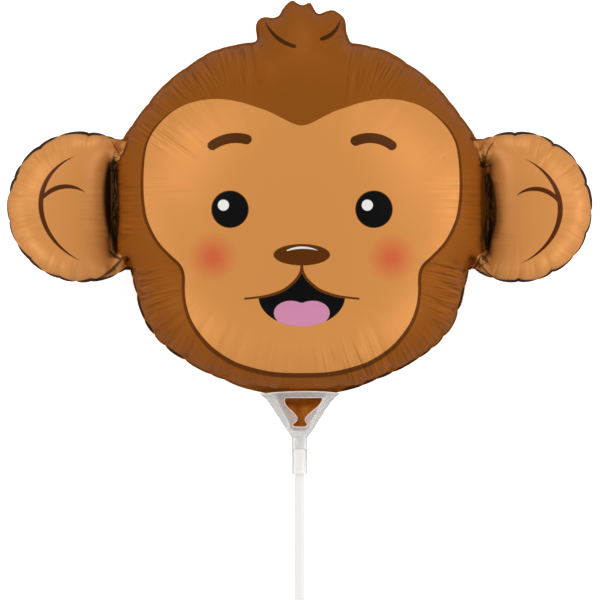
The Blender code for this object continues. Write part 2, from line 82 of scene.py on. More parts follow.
def smoothCurve(points, closed, perSpan):
    # Catmull-Rom curve through the points: on each span a cubic whose ends follow the neighbours
    points = np.asarray(points, float)
    if closed:
        padded = np.vstack([points[-1:], points, points[:2]])
    else:
        padded = np.vstack([2 * points[:1] - points[1:2], points, 2 * points[-1:] - points[-2:-1]])
    a, b, c, d = (padded[k:len(padded) - 3 + k, None, :] for k in range(4))
    t = np.linspace(0, 1, perSpan, endpoint=False)[None, :, None]
    curve = 2 * b + (c - a) * t + (2 * a - 5 * b + 4 * c - d) * t ** 2 + (3 * b - a - 3 * c + d) * t ** 3
    curve = 0.5 * curve.reshape(-1, points.shape[1])
    return curve if closed else np.vstack([curve, points[-1:]])


def loopLengths(loop):
    # distance along the closed loop to each of its points, and its whole length
    steps = np.linalg.norm(np.roll(loop, -1, axis=0) - loop, axis=1)
    along = np.concatenate([[0.0], np.cumsum(steps)])
    return along[:-1], along[-1]


def alongLoop(loop, values, places):
    # values that belong to the loop's points, read at any distances along the closed loop
    along, total = loopLengths(loop)
    closed = np.append(along, total)
    values = np.concatenate([values, values[:1]])
    places = np.mod(places, total)
    if values.ndim == 1:
        return np.interp(places, closed, values)
    return np.column_stack([np.interp(places, closed, values[:, k]) for k in range(values.shape[1])])


def evenLoop(loop, step):
    # the same loop with points at even distances
    total = loopLengths(loop)[1]
    count = max(8, round(total / step))
    return alongLoop(loop, loop, np.arange(count) * total / count)


def inwardNormals(loop):
    # a quarter turn left of the running direction, on an anticlockwise loop
    run = np.roll(loop, -1, axis=0) - np.roll(loop, 1, axis=0)
    run /= np.linalg.norm(run, axis=1)[:, None]
    return np.column_stack([-run[:, 1], run[:, 0]])


def ellipse(centre, radii, step):
    # centre + (a cos t, b sin t)
    turn = np.arange(0, 2 * math.pi, step / max(radii))
    return np.column_stack([centre[0] + radii[0] * np.cos(turn), centre[1] + radii[1] * np.sin(turn)])


def unionOf(loops):
    # the outer loop of the region that the loops cover together
    points = [Vector(p) for loop in loops for p in loop]
    starts = np.cumsum([0] + [len(loop) for loop in loops])
    faces = [list(range(a, b)) for a, b in zip(starts, starts[1:])]
    points, _, triangles, _, _, _ = delaunay_2d_cdt(points, [], faces, 1, 1e-7)
    corners = np.array(triangles)
    pairs = np.vstack([corners[:, [0, 1]], corners[:, [1, 2]], corners[:, [2, 0]]])
    known = set(map(tuple, pairs.tolist()))
    onward = {a: b for a, b in known if (b, a) not in known}
    here = start = min(onward, key=lambda i: points[i].y)
    loop = []
    while not loop or here != start:
        loop.append(points[here][:])
        here = onward[here]
    return np.array(loop)


def nearestOnLoop(points, loop):
    # for each point: distance from the loop, and the place along it of the nearest spot
    along, _ = loopLengths(loop)
    edge = np.roll(loop, -1, axis=0) - loop
    size = np.sum(edge * edge, axis=1)
    distance, place = np.empty(len(points)), np.empty(len(points))
    for first in range(0, len(points), 1500):
        some = points[first:first + 1500]
        offset = some[:, None, :] - loop[None, :, :]
        share = np.clip(np.sum(offset * edge, axis=2) / size, 0, 1)
        gap = np.sum((offset - share[:, :, None] * edge) ** 2, axis=2)
        best = np.argmin(gap, axis=1)
        rows = np.arange(len(some))
        distance[first:first + 1500] = np.sqrt(gap[rows, best])
        place[first:first + 1500] = along[best] + share[rows, best] * np.sqrt(size[best])
    return distance, place


def isInside(points, loop):
    # crossings to the right of each point are odd
    ax, ay = loop[:, 0], loop[:, 1]
    bx, by = np.roll(ax, -1), np.roll(ay, -1)
    rise = np.where(by == ay, 1e-12, by - ay)
    inside = np.zeros(len(points), bool)
    for first in range(0, len(points), 4000):
        x, y = points[first:first + 4000, :1], points[first:first + 4000, 1:2]
        spans = (ay > y) != (by > y)
        crossing = ax + (y - ay) / rise * (bx - ax)
        inside[first:first + 4000] = np.sum(spans & (x < crossing), axis=1) % 2
    return inside


def softStep(value, low, high):
    # 0 below low, 1 above high, 3t^2 - 2t^3 between them
    t = np.clip((value - low) / (high - low), 0, 1)
    return t * t * (3 - 2 * t)


# Foil envelope: its outline in the plan

foil = {
    "headWidth": 0.1864,
    "headHeight": 0.1828,
    "headDepth": 0.108,
    "earsSpan": 0.300,
    "earDiameter": 0.0778,
    "earDepth": 0.034,
    "earRise": 0.0973,
    "weldOffset": 0.0021,  # from the head's widest place to the middle of an ear's weld
    "weldWidth": 0.0035,
    "weldPassage": (0.0104, 0.0125),  # from the outline to a weld's lower and upper end
    "webDepth": 0.0062,  # flat web at each notch between an ear and the head
    "webWidth": 0.0062,
    "webSearch": 0.008,  # how far from the weld the notch can lie
    "webTip": (0.0004, 0.0010),  # half width of its inner end, and how far it starts outside the notch
    "flange": 0.0012,  # flat welded edge
    "flangeInCup": 0.0028,
    "flangeFade": ((0.020, 0.030), (0.010, 0.030)),  # where that ends: from the middle, and up the chin
    "tailWidth": 0.0240,
    "tailLength": 0.0171,  # to just below the cup's window
    "tailRoom": 0.0008,  # between it and the head's edge
    "tailForward": 0.0034,  # of its middle, behind the cup's front wall
    "edgeThickness": 0.00016,
    "flatSoftness": 0.0016,  # how softly the back meets the floor
    "tuftRoot": 0.1650,  # height at which the tuft's outline closes inside the head
    "tuftReach": (0.028, 0.034),  # from the middle, over which the tuft's calm ends
    "outlineStep": 0.0006,
    "easing": 5,  # rounds of averaging that round the notches of the outline
}
weldX = foil["headWidth"] / 2 + foil["weldOffset"]

# the moulded cup and the stick in its socket
cup = {
    "rise": 0.0013,  # of the rim above the chin's lowest point
    "turn": 12,  # degrees round the stick
    "mouthWidth": 0.0420,
    "mouthDepth": 0.0260,
    "rimArch": 0.0019,  # extra height of the rim in front and behind
    "archSoftness": 0.02,
    "lipShare": 0.14,
    "lipPower": 12,
    "funnelHeight": 0.0223,
    "wall": 0.0009,
    "rounding": 0.0004,
    "throatRounding": 0.00022,
    "innerHeight": 0.97,  # of the inner skin, as a share of the outer one's
    "socketRadius": 0.0040,
    "socketLength": 0.0185,
    "boreRadius": 0.0029,
    "throatRadius": 0.0019,
    "throatLength": 0.0063,
    "windowWidth": 0.0201,
    "windowHeight": 0.0149,
    "windowDrop": 0.0017,
    "windowLean": (-0.0011, 0.0003),  # of its foot and of its top, to the right
    "around": 156,
    "levels": 34,
    "windowStep": 0.00036,
    "closeIn": (0.00004, 0.00012, 0.00022, 0.00034, 0.0005, 0.0008),  # rows beside the windows and the rim
    "levelRoom": (0.0002, 0.0012),  # between the even rows and the base, and the rim
    "windowRoom": 0.0011,
    "edgeGlowFade": (0.0001, 0.0004),  # distance over which the painted glow of a cut edge ends
    "planSpread": 0.0172,  # from the base to the rim in the funnel's plan
    "colour": (243, 243, 242),
    # painted glow of the cut edges, which stands in for light that the milky wall leads: its colour and
    # strength
    "glowColour": (255, 218, 186),
    "paintedGlow": 0.24,
    "transmission": 0.75,
    "ior": 1.3,
    "roughness": 0.26,
}
stick = {
    "radius": 0.0026,
    "bore": 0.0021,
    "top": -0.0267,
    "rounding": 0.00012,
    "around": 64,
    "colour": (232, 229, 227),
    # painted glow of the stick inside the socket, which stands in for light that the socket leads to it: its
    # colour and strength
    "glowColour": (255, 246, 240),
    "paintedGlow": 0.6,
    "transmission": 0.0,
    "ior": 1.3,
    "roughness": 0.4,
}

# half of the window from its foot to its top, as shares of half its width and of its height
windowHalf = np.array([
    (0.25, 0.0), (0.355, 0.03), (0.375, 0.09), (0.26, 0.16), (0.19, 0.25), (0.245, 0.36), (0.46, 0.505),
    (0.79, 0.69), (0.965, 0.84), (1.0, 0.93), (0.985, 0.975), (0.92, 1.0),
])

# half of the head's outline from chin to crown, as shares of half its width and of its height
headHalf = np.array([
    (0.0, 0.0), (0.266, 0.0196), (0.420, 0.0476), (0.547, 0.0756), (0.723, 0.1317), (0.827, 0.1877),
    (0.879, 0.2437), (0.907, 0.2997), (0.955, 0.4100), (0.995, 0.5100), (1.0, 0.5800), (0.995, 0.6500),
    (0.981, 0.7115), (0.942, 0.7480), (0.821, 0.8320), (0.717, 0.8880), (0.607, 0.9300), (0.467, 0.9720),
    (0.245, 0.9960), (0.0, 1.0),
])

# outline of the tuft of hair from its right foot to its left one, in metres
tuftOutline = np.array([
    (0.0262, 0.1790), (0.0253, 0.1832), (0.0240, 0.1867), (0.0237, 0.1905), (0.0230, 0.1937),
    (0.0207, 0.1961), (0.0168, 0.1983), (0.0130, 0.1974), (0.0098, 0.1960), (0.0081, 0.1973),
    (0.0066, 0.2004), (0.0050, 0.2024), (0.0022, 0.2006), (-0.0010, 0.2014), (-0.0037, 0.2033),
    (-0.0066, 0.2013), (-0.0090, 0.1984), (-0.0106, 0.1954), (-0.0138, 0.1941), (-0.0181, 0.1947),
    (-0.0214, 0.1929), (-0.0226, 0.1893), (-0.0219, 0.1832), (-0.0228, 0.1790),
])


def foilOutline():
    # head, ears and tuft united, then eased a little by averaging neighbours
    step = foil["outlineStep"]
    right = headHalf * (foil["headWidth"] / 2, foil["headHeight"])
    left = right[-2:0:-1] * (-1, 1)
    loops = [smoothCurve(np.vstack([right, left]), True, 12)]
    radius = foil["earDiameter"] / 2
    for side in (1, -1):
        centre = (side * (foil["earsSpan"] / 2 - radius), foil["earRise"])
        loops.append(ellipse(centre, (radius, radius), step))
    tuft = smoothCurve(tuftOutline, False, 8)
    loops.append(np.vstack([tuft, [(tuft[end, 0], foil["tuftRoot"]) for end in (-1, 0)]]))
    loop = evenLoop(unionOf(loops), step)
    for _ in range(foil["easing"]):
        loop = 0.5 * loop + 0.25 * (np.roll(loop, 1, axis=0) + np.roll(loop, -1, axis=0))
    return np.roll(loop, -int(np.argmin(loop[:, 1])), axis=0)


def weldLoop(side, outline):
    # upright strip with round ends between an ear and the head
    x = side * weldX
    after = np.roll(outline, -1, axis=0)
    crosses = (outline[:, 0] > x) != (after[:, 0] > x)
    low, high = outline[crosses, 1].min(), outline[crosses, 1].max()
    low, high = low + foil["weldPassage"][0], high - foil["weldPassage"][1]
    radius = foil["weldWidth"] / 2
    turn = np.linspace(0, math.pi, 9)
    cap = np.column_stack([radius * np.cos(turn), radius * np.sin(turn)])
    return evenLoop(np.vstack([cap + (x, high - radius), -cap + (x, low + radius)]), plan["weldStep"])


def webLoop(side, end, outline):
    # flat wedge from a notch of the outline towards the weld's end, with rounded sides
    x = side * weldX
    near = (np.abs(outline[:, 0] - x) < foil["webSearch"]) & (end * (outline[:, 1] - foil["earRise"]) > 0)
    notch = outline[near][np.argmin(end * outline[near, 1])]
    t = np.linspace(0, 1, 12)
    tip, outside = foil["webTip"]
    half = foil["webWidth"] / 2 * (1 - t) ** 1.4 + tip
    depth = foil["webDepth"] * t - outside
    inner = np.column_stack([notch[0] + half, notch[1] - end * depth])
    outer = np.column_stack([notch[0] - half, notch[1] - end * depth])[::-1]
    loop = evenLoop(np.vstack([inner, outer]), plan["webStep"])
    area = np.sum(loop[:, 0] * np.roll(loop[:, 1], -1) - loop[:, 1] * np.roll(loop[:, 0], -1))
    return loop if area > 0 else loop[::-1]


# Puckers: where the slack foil folds along the seam

pucker = {
    "pitch": 0.0112,
    "spread": 0.36,  # how unevenly they stand
    "sampleStep": 0.00072,
    "notch": 0.0009,  # how far the seam is drawn in at a pucker
    "notchWidth": 0.0019,
    "notchReach": 0.0045,
    "wave": 0.0008,  # how far the flange waves out of its plane
    "waveReach": 0.006,
    "depth": 0.11,  # share of the pitch
    "strengths": (0.45, 1.35),  # of the weakest and the strongest pucker
    "notchStrengths": (0.35, 1.3),
    "lessWhereCalm": 0.65,
    "lessOnEars": (0.5, 0.35),  # coarse and fine
    "lessOnChin": 0.7,
    "fade": (0.72, 0.98),  # shares of the full height between which they end
    "rise": 0.0016,  # over the surface, from the seam to the pillows' full height
    "valley": (0.27, 0.030),  # width of a valley as a share of the pitch, and the distance that doubles it
    "reach": (0.044, 0.017),  # over the surface, to a third of the depth, on the head and on an ear
    "finePitch": 0.0034,
    "fineSpread": 0.35,
    "fineDepth": 0.00045,
    "fineValley": 0.32,
    "fineReach": (0.046, 0.030),
    "fineGroups": 0.071,
    "weldPitch": 0.0046,
    "weldFinePitch": 0.0026,
    "weldSpread": 0.30,
    "crumple": 0.00035,  # of the flat weld strips
    "sliverShade": (0.0024, 0.0022),  # widest painted shade at the edge, where the film dips between two puckers, on head and ear
    "sliverHeight": 1.3,  # of the sliver over the surface, as a share of its width
    "lessBehind": 0.0017,  # narrower sliver on the back film
    "lowDown": (0.060, 0.085),  # the head's slivers and waves end between these heights
    "keptChin": (0.03, 0.02),  # half width and height of the chin, which keeps its edge in the cup
    "calmChin": ((0.016, 0.034), (0.004, 0.022)),  # where its calm ends: from the middle, and up
    "tuftBlend": 0.004,  # height over and under the crown in which the tuft's calm starts
}

# where the streaks are strongest: middle, half width, half height and strength
streakGroups = [
    (-0.0740, 0.0560, 0.014, 0.013, 0.8), (-0.0879, 0.0906, 0.009, 0.030, 0.4),
    (-0.0660, 0.1260, 0.018, 0.020, 0.6), (-0.0332, 0.1700, 0.022, 0.011, 0.7),
    (-0.0550, 0.1570, 0.012, 0.010, 0.5), (0.0334, 0.1664, 0.016, 0.015, 0.5),
    (0.0718, 0.1137, 0.012, 0.018, 0.15), (0.0760, 0.0600, 0.014, 0.024, 0.8),
    (0.0360, 0.0170, 0.024, 0.010, 0.6),
]

seeded = np.random.default_rng(11)


def unevenPlaces(total, pitch, spread):
    # starts of the puckers along a loop, and one more for its end
    count = max(4, round(total / pitch))
    gaps = pitch * (1 + spread * seeded.uniform(-1, 1, count))
    return np.concatenate([[0.0], np.cumsum(gaps)]) * total / gaps.sum()


def samplePlaces(starts, step):
    # places along the loop, closer together beside each pucker's valley
    gaps = np.diff(starts)
    counts = np.maximum(6, np.round(gaps / step)).astype(int)
    first = np.repeat(np.cumsum(counts) - counts, counts)
    share = (np.arange(counts.sum()) - first) / np.repeat(counts, counts)
    share -= 0.45 * np.sin(2 * math.pi * share) / (2 * math.pi)
    return np.repeat(starts[:-1], counts) + share * np.repeat(gaps, counts)


def valleys(places, starts, strength, width):
    # depth 0 to 1 at each place: the two nearest valleys, each a cusp that falls off exponentially
    total = starts[-1]
    here = np.clip(np.searchsorted(starts, np.mod(places, total), side="right") - 1, 0, len(starts) - 2)
    places = np.mod(places, total)
    nextOne = (here + 1) % (len(starts) - 1)
    left = strength[here] * np.exp(-(places - starts[here]) / width)
    right = strength[nextOne] * np.exp(-(starts[here + 1] - places) / width)
    return left + right


# Plan of the foil: rows of points that follow the seams, and an even lattice inside them

plan = {
    "rows": 25,
    "rowsReach": 0.0270,
    "halfFrom": 16,  # from this row on, every second point
    "weldRows": 15,
    "weldReach": 0.0100,
    "weldStep": 0.0009,
    "webRows": 8,
    "webReach": 0.0040,
    "webStep": 0.0007,
    "clearance": 0.0002,  # of a row's points from the next weld or web
    "clearShare": 1.05,  # and as a share of their own distance
    # least share of its distance that a point keeps, or it is left out: seam's rows, islands' rows, flange
    "kept": (0.985, 0.97, 0.96),
    "stripStep": 0.00062,  # inside the flat weld strips, for their crumples
    "stripInset": 0.0003,
    "lattice": 0.00178,
}


def tailOutline():
    # left side downwards and right side back up, with close points
    shape = np.array([(0.0, 1.0), (0.25, 0.833), (0.5, 0.642), (0.72, 0.467), (0.94, 0.375), (1.0, 0.25)])
    left = np.column_stack([-foil["tailWidth"] / 2 * shape[:, 1], -foil["tailLength"] * shape[:, 0]])
    steps = np.linspace(0, len(left) - 1, 40)
    fine = np.column_stack([np.interp(steps, np.arange(len(left)), left[:, k]) for k in range(2)])
    return fine[1:], (fine * (-1, 1))[::-1][:-1]


def nearestOfLoops(points, loops):
    # distance and place on the nearest of several loops
    distances, places = zip(*(nearestOnLoop(points, loop) for loop in loops))
    best = np.argmin(distances, axis=0)
    rows = np.arange(len(points))
    return np.array(distances)[best, rows], np.array(places)[best, rows]


def insideAny(points, loops):
    return np.any([isInside(points, loop) for loop in loops], axis=0)


def islandRows(loop, count, reach, outline):
    # rows round a flat island, with squared steps, as far as they stay clear of the seam
    rows = []
    outward = -inwardNormals(loop)
    for row in range(1, count + 1):
        depth = reach * (row / count) ** 2
        step = 1 if row < 0.7 * count else 2
        ring = (loop + outward * depth)[row % step::step]
        toSeam = nearestOnLoop(ring, outline)[0] - foil["flange"]
        clear = toSeam > depth * plan["clearShare"] + plan["clearance"]
        clear &= nearestOnLoop(ring, loop)[0] > plan["kept"][1] * depth
        rows.append(ring[clear & isInside(ring, outline)])
    return rows


def foilPlan():
    # both films' plan: close rows beside the seam and the flat islands, and an even lattice between them
    outline = foilOutline()
    normals = inwardNormals(outline)
    total = loopLengths(outline)[1]
    starts = unevenPlaces(total, pucker["pitch"], pucker["spread"])
    places = samplePlaces(starts, pucker["sampleStep"])
    base = alongLoop(outline, outline, places)
    inward = alongLoop(outline, normals, places)
    inward /= np.linalg.norm(inward, axis=1)[:, None]
    (near, far), (low, high) = foil["flangeFade"]
    inCup = softStep(-np.abs(base[:, 0]), -far, -near) * softStep(-base[:, 1], -high, -low)
    flange = foil["flange"] + (foil["flangeInCup"] - foil["flange"]) * inCup
    welds = [weldLoop(side, outline) for side in (1, -1)]
    webs = [webLoop(side, end, outline) for side in (1, -1) for end in (1, -1)]
    islands = welds + webs

    # outer edge, with the tail in place of the chin's middle
    nearTail = np.abs(base[:, 0]) < foil["tailWidth"] / 2 + foil["tailRoom"]
    nearTail &= base[:, 1] < foil["earRise"]
    left, right = tailOutline()
    edge = np.vstack([base[~nearTail], left, right])
    seam = base + inward * flange[:, None]
    seam = seam[nearestOnLoop(seam, outline)[0] > plan["kept"][2] * flange]
    parts = [edge, seam] + islands
    fixed, first = [], 0
    for loop in parts:
        ring = first + np.arange(len(loop))
        fixed.append(np.column_stack([ring, np.roll(ring, -1)]))
        first += len(loop)
    fixed = np.vstack(fixed[1:])

    # rows inside the seam, with squared steps because the foil rises straight up from it
    for row in range(1, plan["rows"] + 1):
        depth = plan["rowsReach"] * (row / plan["rows"]) ** 2
        ring, away = base + inward * (flange + depth)[:, None], flange + depth
        if row >= plan["halfFrom"]:
            ring, away = ring[row % 2::2], away[row % 2::2]
        good = nearestOnLoop(ring, outline)[0] > plan["kept"][0] * away
        room = min(depth * plan["clearShare"], plan["weldReach"]) + plan["clearance"]
        good &= nearestOfLoops(ring, islands)[0] > room
        parts.append(ring[good & ~insideAny(ring, islands)])
    for weld in welds:
        parts += islandRows(weld, plan["weldRows"], plan["weldReach"], outline)
        low, high = weld.min(axis=0) + plan["stripStep"], weld.max(axis=0) - plan["stripStep"]
        ys, xs = np.arange(low[1], high[1], plan["stripStep"] * 1.3), np.linspace(low[0], high[0], 4)
        strip = np.stack(np.meshgrid(xs, ys), axis=-1).reshape(-1, 2)
        parts.append(strip[isInside(strip, weld) & (nearestOnLoop(strip, weld)[0] > plan["stripInset"])])
    for web in webs:
        parts += islandRows(web, plan["webRows"], plan["webReach"], outline)

    # flange's middle
    middle = base + inward * flange[:, None] / 2
    parts.append(middle[nearestOnLoop(middle, outline)[0] > 0.45 * flange])
    made = np.vstack(parts)

    # lattice wherever no row point is near: cells that hold one are blocked with their neighbours
    step = plan["lattice"]
    low, high = outline.min(axis=0) - (0, 0.025), outline.max(axis=0)
    ys = np.arange(low[1], high[1], step * math.sqrt(3) / 2)
    xs = np.arange(low[0], high[0], step)
    grid = np.stack(np.meshgrid(xs, ys), axis=-1)
    grid[1::2, :, 0] += step / 2
    grid = grid.reshape(-1, 2)
    cell = 0.6 * step
    blocked = np.zeros(np.ceil((high - low) / cell).astype(int) + 4, bool)
    at = ((made - low) / cell).astype(int) + 1
    blocked[at[:, 0], at[:, 1]] = True
    spread = blocked.copy()
    for dx in (-1, 0, 1):
        for dy in (-1, 0, 1):
            spread |= np.roll(blocked, (dx, dy), axis=(0, 1))
    at = ((grid - low) / cell).astype(int) + 1
    grid = grid[~spread[at[:, 0], at[:, 1]]]
    made = np.vstack([made, grid[isInside(grid, edge)]])

    found, _, triangles, _, _, _ = delaunay_2d_cdt(
        [Vector(p) for p in made], fixed.tolist(), [list(range(len(edge)))], 1, 1e-8)
    return {
        "points": np.array([p[:] for p in found]), "triangles": np.array(triangles), "outline": outline,
        "normals": normals, "starts": starts, "seam": seam, "welds": welds, "webs": webs,
    }


def isPinned(flat, seam, islands):
    # points on the seam, outside it, or on an island stay flat
    pinned = ~isInside(flat, seam) | (nearestOnLoop(flat, seam)[0] < 2e-6)
    for loop in islands:
        rows = np.flatnonzero(np.all(np.abs(flat - loop.mean(axis=0)) < np.ptp(loop, axis=0), axis=1))
        pinned[rows] |= isInside(flat[rows], loop) | (nearestOnLoop(flat[rows], loop)[0] < 2e-6)
    return pinned


def membrane(flat, triangles, pinned):
    # height of an evenly loaded membrane held at the welds: linear finite elements,
    # solved by conjugate gradients with the diagonal as the preconditioner
    corners = flat[triangles]
    opposite = np.roll(corners, -1, axis=1) - np.roll(corners, 1, axis=1)
    area = 0.5 * np.abs(opposite[:, 0, 0] * opposite[:, 1, 1] - opposite[:, 0, 1] * opposite[:, 1, 0])
    area = np.maximum(area, 1e-13)
    local = np.einsum("tik,tjk->tij", opposite, opposite) / (4 * area)[:, None, None]
    count = len(flat)
    rows = np.repeat(triangles, 3, axis=1).ravel()
    columns = np.tile(triangles, (1, 3)).ravel()
    entries = local.ravel()
    free = ~pinned
    load = np.bincount(triangles.ravel(), np.repeat(area / 3, 3), count) * free
    diagonal = np.bincount(triangles.ravel(), local[:, [0, 1, 2], [0, 1, 2]].ravel(), count)
    height, rest = np.zeros(count), load.copy()
    scaled = rest / diagonal
    course, size = scaled.copy(), rest @ scaled
    goal = size * 1e-14
    for _ in range(4000):
        push = np.bincount(rows, entries * course[columns], count) * free
        gain = size / (course @ push)
        height += gain * course
        rest -= gain * push
        scaled = rest / diagonal
        newSize = rest @ scaled
        if newSize < goal:
            break
        course = scaled + newSize / size * course
        size = newSize
    return np.maximum(height, 0)


def foilProfile(share):
    # section of a round foil balloon: slope r^2 / sqrt(1 - r^4), read at the radius where a membrane
    # has the given share 1 - r^2 of its height
    t = np.linspace(0, 1, 4001)
    radius = 1 - t ** 2
    slope = 2 * radius ** 2 / np.sqrt((1 + radius) * (1 + radius ** 2))
    height = np.concatenate([[0.0], np.cumsum(0.5 * (slope[1:] + slope[:-1]) * np.diff(t))])
    return np.interp(np.sqrt(1 - np.sqrt(np.clip(1 - share, 0, 1))), t, height) / height[-1]


def vertexNormals(points, faces):
    # sum of the normals of a point's triangles, each as long as twice its area, made one long
    a, b, c = (points[faces[:, k]] for k in range(3))
    normal = np.cross(b - a, c - a)
    total = np.column_stack([
        np.bincount(faces.ravel(), np.repeat(normal[:, k], 3), len(points)) for k in range(3)])
    return total / np.maximum(np.linalg.norm(total, axis=1), 1e-18)[:, None]


def puckerShift(places, over, starts, fineStarts, calm, inEar):
    # shift along the normal at a place along the seam and a distance over the surface from it:
    # pillows between cusp valleys, deep at the seam and fading away from it, and a finer family
    gaps = np.diff(starts)
    pitch, finePitch = gaps.mean(), np.diff(fineStarts).mean()
    strength = seeded.uniform(*pucker["strengths"], len(gaps)) * gaps * pucker["depth"]
    rise = 1 - np.exp(-over / pucker["rise"])
    reach, fineReach = (a + (b - a) * inEar for a, b in (pucker["reach"], pucker["fineReach"]))
    narrow, widening = pucker["valley"]
    width = narrow * pitch * (1 + over / widening)
    coarse = 0.42 * np.mean(strength) - valleys(places, starts, strength, width)
    coarse *= (
        rise * np.exp(-(over / reach) ** 1.1) * (1 - pucker["lessWhereCalm"] * calm)
        * (1 - pucker["lessOnEars"][0] * inEar))
    fineStrength = seeded.uniform(0.0, 1.0, len(fineStarts) - 1) ** 1.5 * 2.2 * pucker["fineDepth"]
    groups = 0.35 + 0.65 * np.sin(fineStarts[:-1] * 2 * math.pi / pucker["fineGroups"] + 1.3) ** 2
    fine = -valleys(places, fineStarts, fineStrength * groups, pucker["fineValley"] * finePitch)
    fine *= rise * np.exp(-(over / fineReach) ** 3) * (1 - calm) * (1 - pucker["lessOnEars"][1] * inEar)
    return coarse + fine


def halfDepth(film, across, inEar):
    # share of the full height, and half thickness: the ears are shallower and change over at their welds
    highest = film[across < weldX].max() * (1 - inEar) + film[across > weldX].max() * inEar
    share = np.minimum(film / highest, 1)
    depth = foil["headDepth"] * (1 - inEar) + foil["earDepth"] * inEar
    return share, 0.5 * (depth - foil["edgeThickness"]) * foilProfile(share)


def scallops(flat, layout, edgePlace, toEdge, overEdge, nearWeld, inEar, inTuft, lowDown):
    # the seam is drawn in at each valley, and waves out of its plane between them:
    # a sine for each pucker and a random lift, which fade away from the edge
    count = len(layout["starts"]) - 1
    strength = seeded.uniform(*pucker["notchStrengths"], count)
    wide, tall = pucker["keptChin"]
    outside = np.clip(np.abs(flat[:, 0]) / wide + flat[:, 1] / tall - 1, 0, 1)
    outside = outside * (0.45 + 0.55 * np.maximum(lowDown, inEar))
    notch = valleys(edgePlace, layout["starts"], strength * pucker["notch"], pucker["notchWidth"])
    notch *= np.exp(-toEdge / pucker["notchReach"]) * outside * (1 - 0.7 * inTuft)
    inward = alongLoop(layout["outline"], layout["normals"], edgePlace)
    total = loopLengths(layout["outline"])[1]
    phase = np.interp(np.mod(edgePlace, total), layout["starts"], np.arange(count + 1))
    lifts = seeded.uniform(-1, 1, count + 1)
    lifts[-1] = lifts[0]
    wave = 0.7 * np.sin(math.pi * 2 * phase) + 0.9 * np.interp(phase, np.arange(count + 1), lifts)
    wave *= pucker["wave"] * np.exp(-overEdge / pucker["waveReach"]) * outside * (1 - nearWeld)
    return flat + inward * notch[:, None], wave, phase


def sliverShadeWidth(phase, count, toOutline, overEdge, inEar, lowDown):
    # width of the painted shade at the edge, where the film dips into shade: a crescent between two puckers,
    # wide on a few of them, that ends low on the film; on an ear it runs on past the next pucker
    widths = seeded.uniform(0, 1, count)
    slivers = []
    for length, least, power, share in ((1, 0.14, 1.8, lowDown), (2, 0.20, 0.8, 1.0)):
        here = np.minimum((phase / length).astype(int), count // length - 1)
        crescent = np.clip(np.sin(math.pi * (phase / length - here)), 0, 1) ** 0.7
        slivers.append(share * crescent * (least + (1 - least) * widths[here] ** power))
    onHead, onEar = np.array(slivers) * np.array(pucker["sliverShade"])[:, None]
    sliverShade = onHead + (onEar - onHead) * inEar
    return np.minimum(sliverShade - toOutline, pucker["sliverHeight"] * sliverShade - overEdge)


def clearOfJumps(flat, triangles, along):
    # 1, and 0 along the lines where the nearest seam changes, softened by averaging over the triangles
    jumps = np.ptp(along[triangles], axis=1) > 0.006
    clear = np.ones(len(flat))
    clear[triangles[jumps]] = 0
    for _ in range(3):
        lowest = clear[triangles].min(axis=1)
        np.minimum.at(clear, triangles.ravel(), np.repeat(lowest, 3))
    for _ in range(3):
        clear = np.bincount(triangles.ravel(), np.repeat(clear[triangles].mean(axis=1), 3), len(flat))
        clear /= np.bincount(triangles.ravel(), minlength=len(flat))
    return clear


def streakStrength(flat, along, over, length, inEar):
    # strength of the streaks square to the nearest seam: groups along it, and the placed groups,
    # each exp(-(squared distance over its size)^1.5)
    count = streaks["groups"]
    grouped = np.interp(along, np.linspace(0, length, count), seeded.uniform(0, 1, count) ** 0.7)
    values = (streaks["headReach"], streaks["earReach"], streaks["ground"])
    onHead, onEar, ground = (least + more * grouped for least, more in values)
    reach = np.where(np.abs(flat[:, 0]) > weldX, onEar, onHead)
    strength = ground * (1 - softStep(over, streaks["fadeFrom"] * reach, reach))
    strength *= 1 - streaks["lessOnEars"] * inEar
    for x, y, wide, tall, strong in streakGroups:
        spread = ((flat[:, 0] - x) / wide) ** 2 + ((flat[:, 1] - y) / tall) ** 2
        strength += strong * np.exp(-spread ** 1.5)
    return strength * softStep(over, *streaks["start"])


def crumplesAndFolds(flat, toWeld, pinned, welds):
    # crumples of the flat weld strips, and the tail's folds and its bend forwards: sums of sines
    x, y, across = flat[:, 0], flat[:, 1], np.abs(flat[:, 0])
    strip = np.exp(-(toWeld / 0.0007) ** 2) * pinned
    strip[insideAny(flat, welds)] = 1
    ridges = np.sin(across / 0.00042 + 1.7 * np.sin(y / 0.0029)) + np.sin(y / 0.0011 + across / 0.0007)
    lift = pucker["crumple"] * strip * ridges * (0.6 + 0.4 * np.sin(y / 0.0047))
    tailness = softStep(-y, 0.0, 0.004) * (across < foil["tailWidth"] / 2 + 0.0005)
    folds = 0.0011 * np.sin(x / 0.0011 + 40 * y) + 0.0007 * np.sin(x / 0.0027 - 1)
    lift += tailness * folds * softStep(y, -0.0215, -0.012)
    return lift + foil["tailForward"] * tailness * softStep(y, -0.0185, -0.008) * softStep(-y, 0.0, 0.006)


def twoFilms(moved, wave, half, shift, triangles):
    # front and back film, each shifted along its normals, and the rim that joins them
    sides = []
    for sign in (1, -1):
        body = np.column_stack([moved, wave + sign * (half + foil["edgeThickness"] / 2)])
        normal = vertexNormals(body, triangles if sign > 0 else triangles[:, ::-1])
        sides.append(body + normal * shift[:, None])
    count = len(moved)
    faces = [triangles, triangles[:, ::-1] + count]
    pairs = np.vstack([triangles[:, [0, 1]], triangles[:, [1, 2]], triangles[:, [2, 0]]])
    known = pairs[:, 0] * count + pairs[:, 1]
    rim = pairs[~np.isin(known, pairs[:, 1] * count + pairs[:, 0])]
    a, b = rim[:, 0], rim[:, 1]
    faces += [np.column_stack([b, a, a + count]), np.column_stack([b, a + count, b + count])]
    return sides, np.vstack(faces)


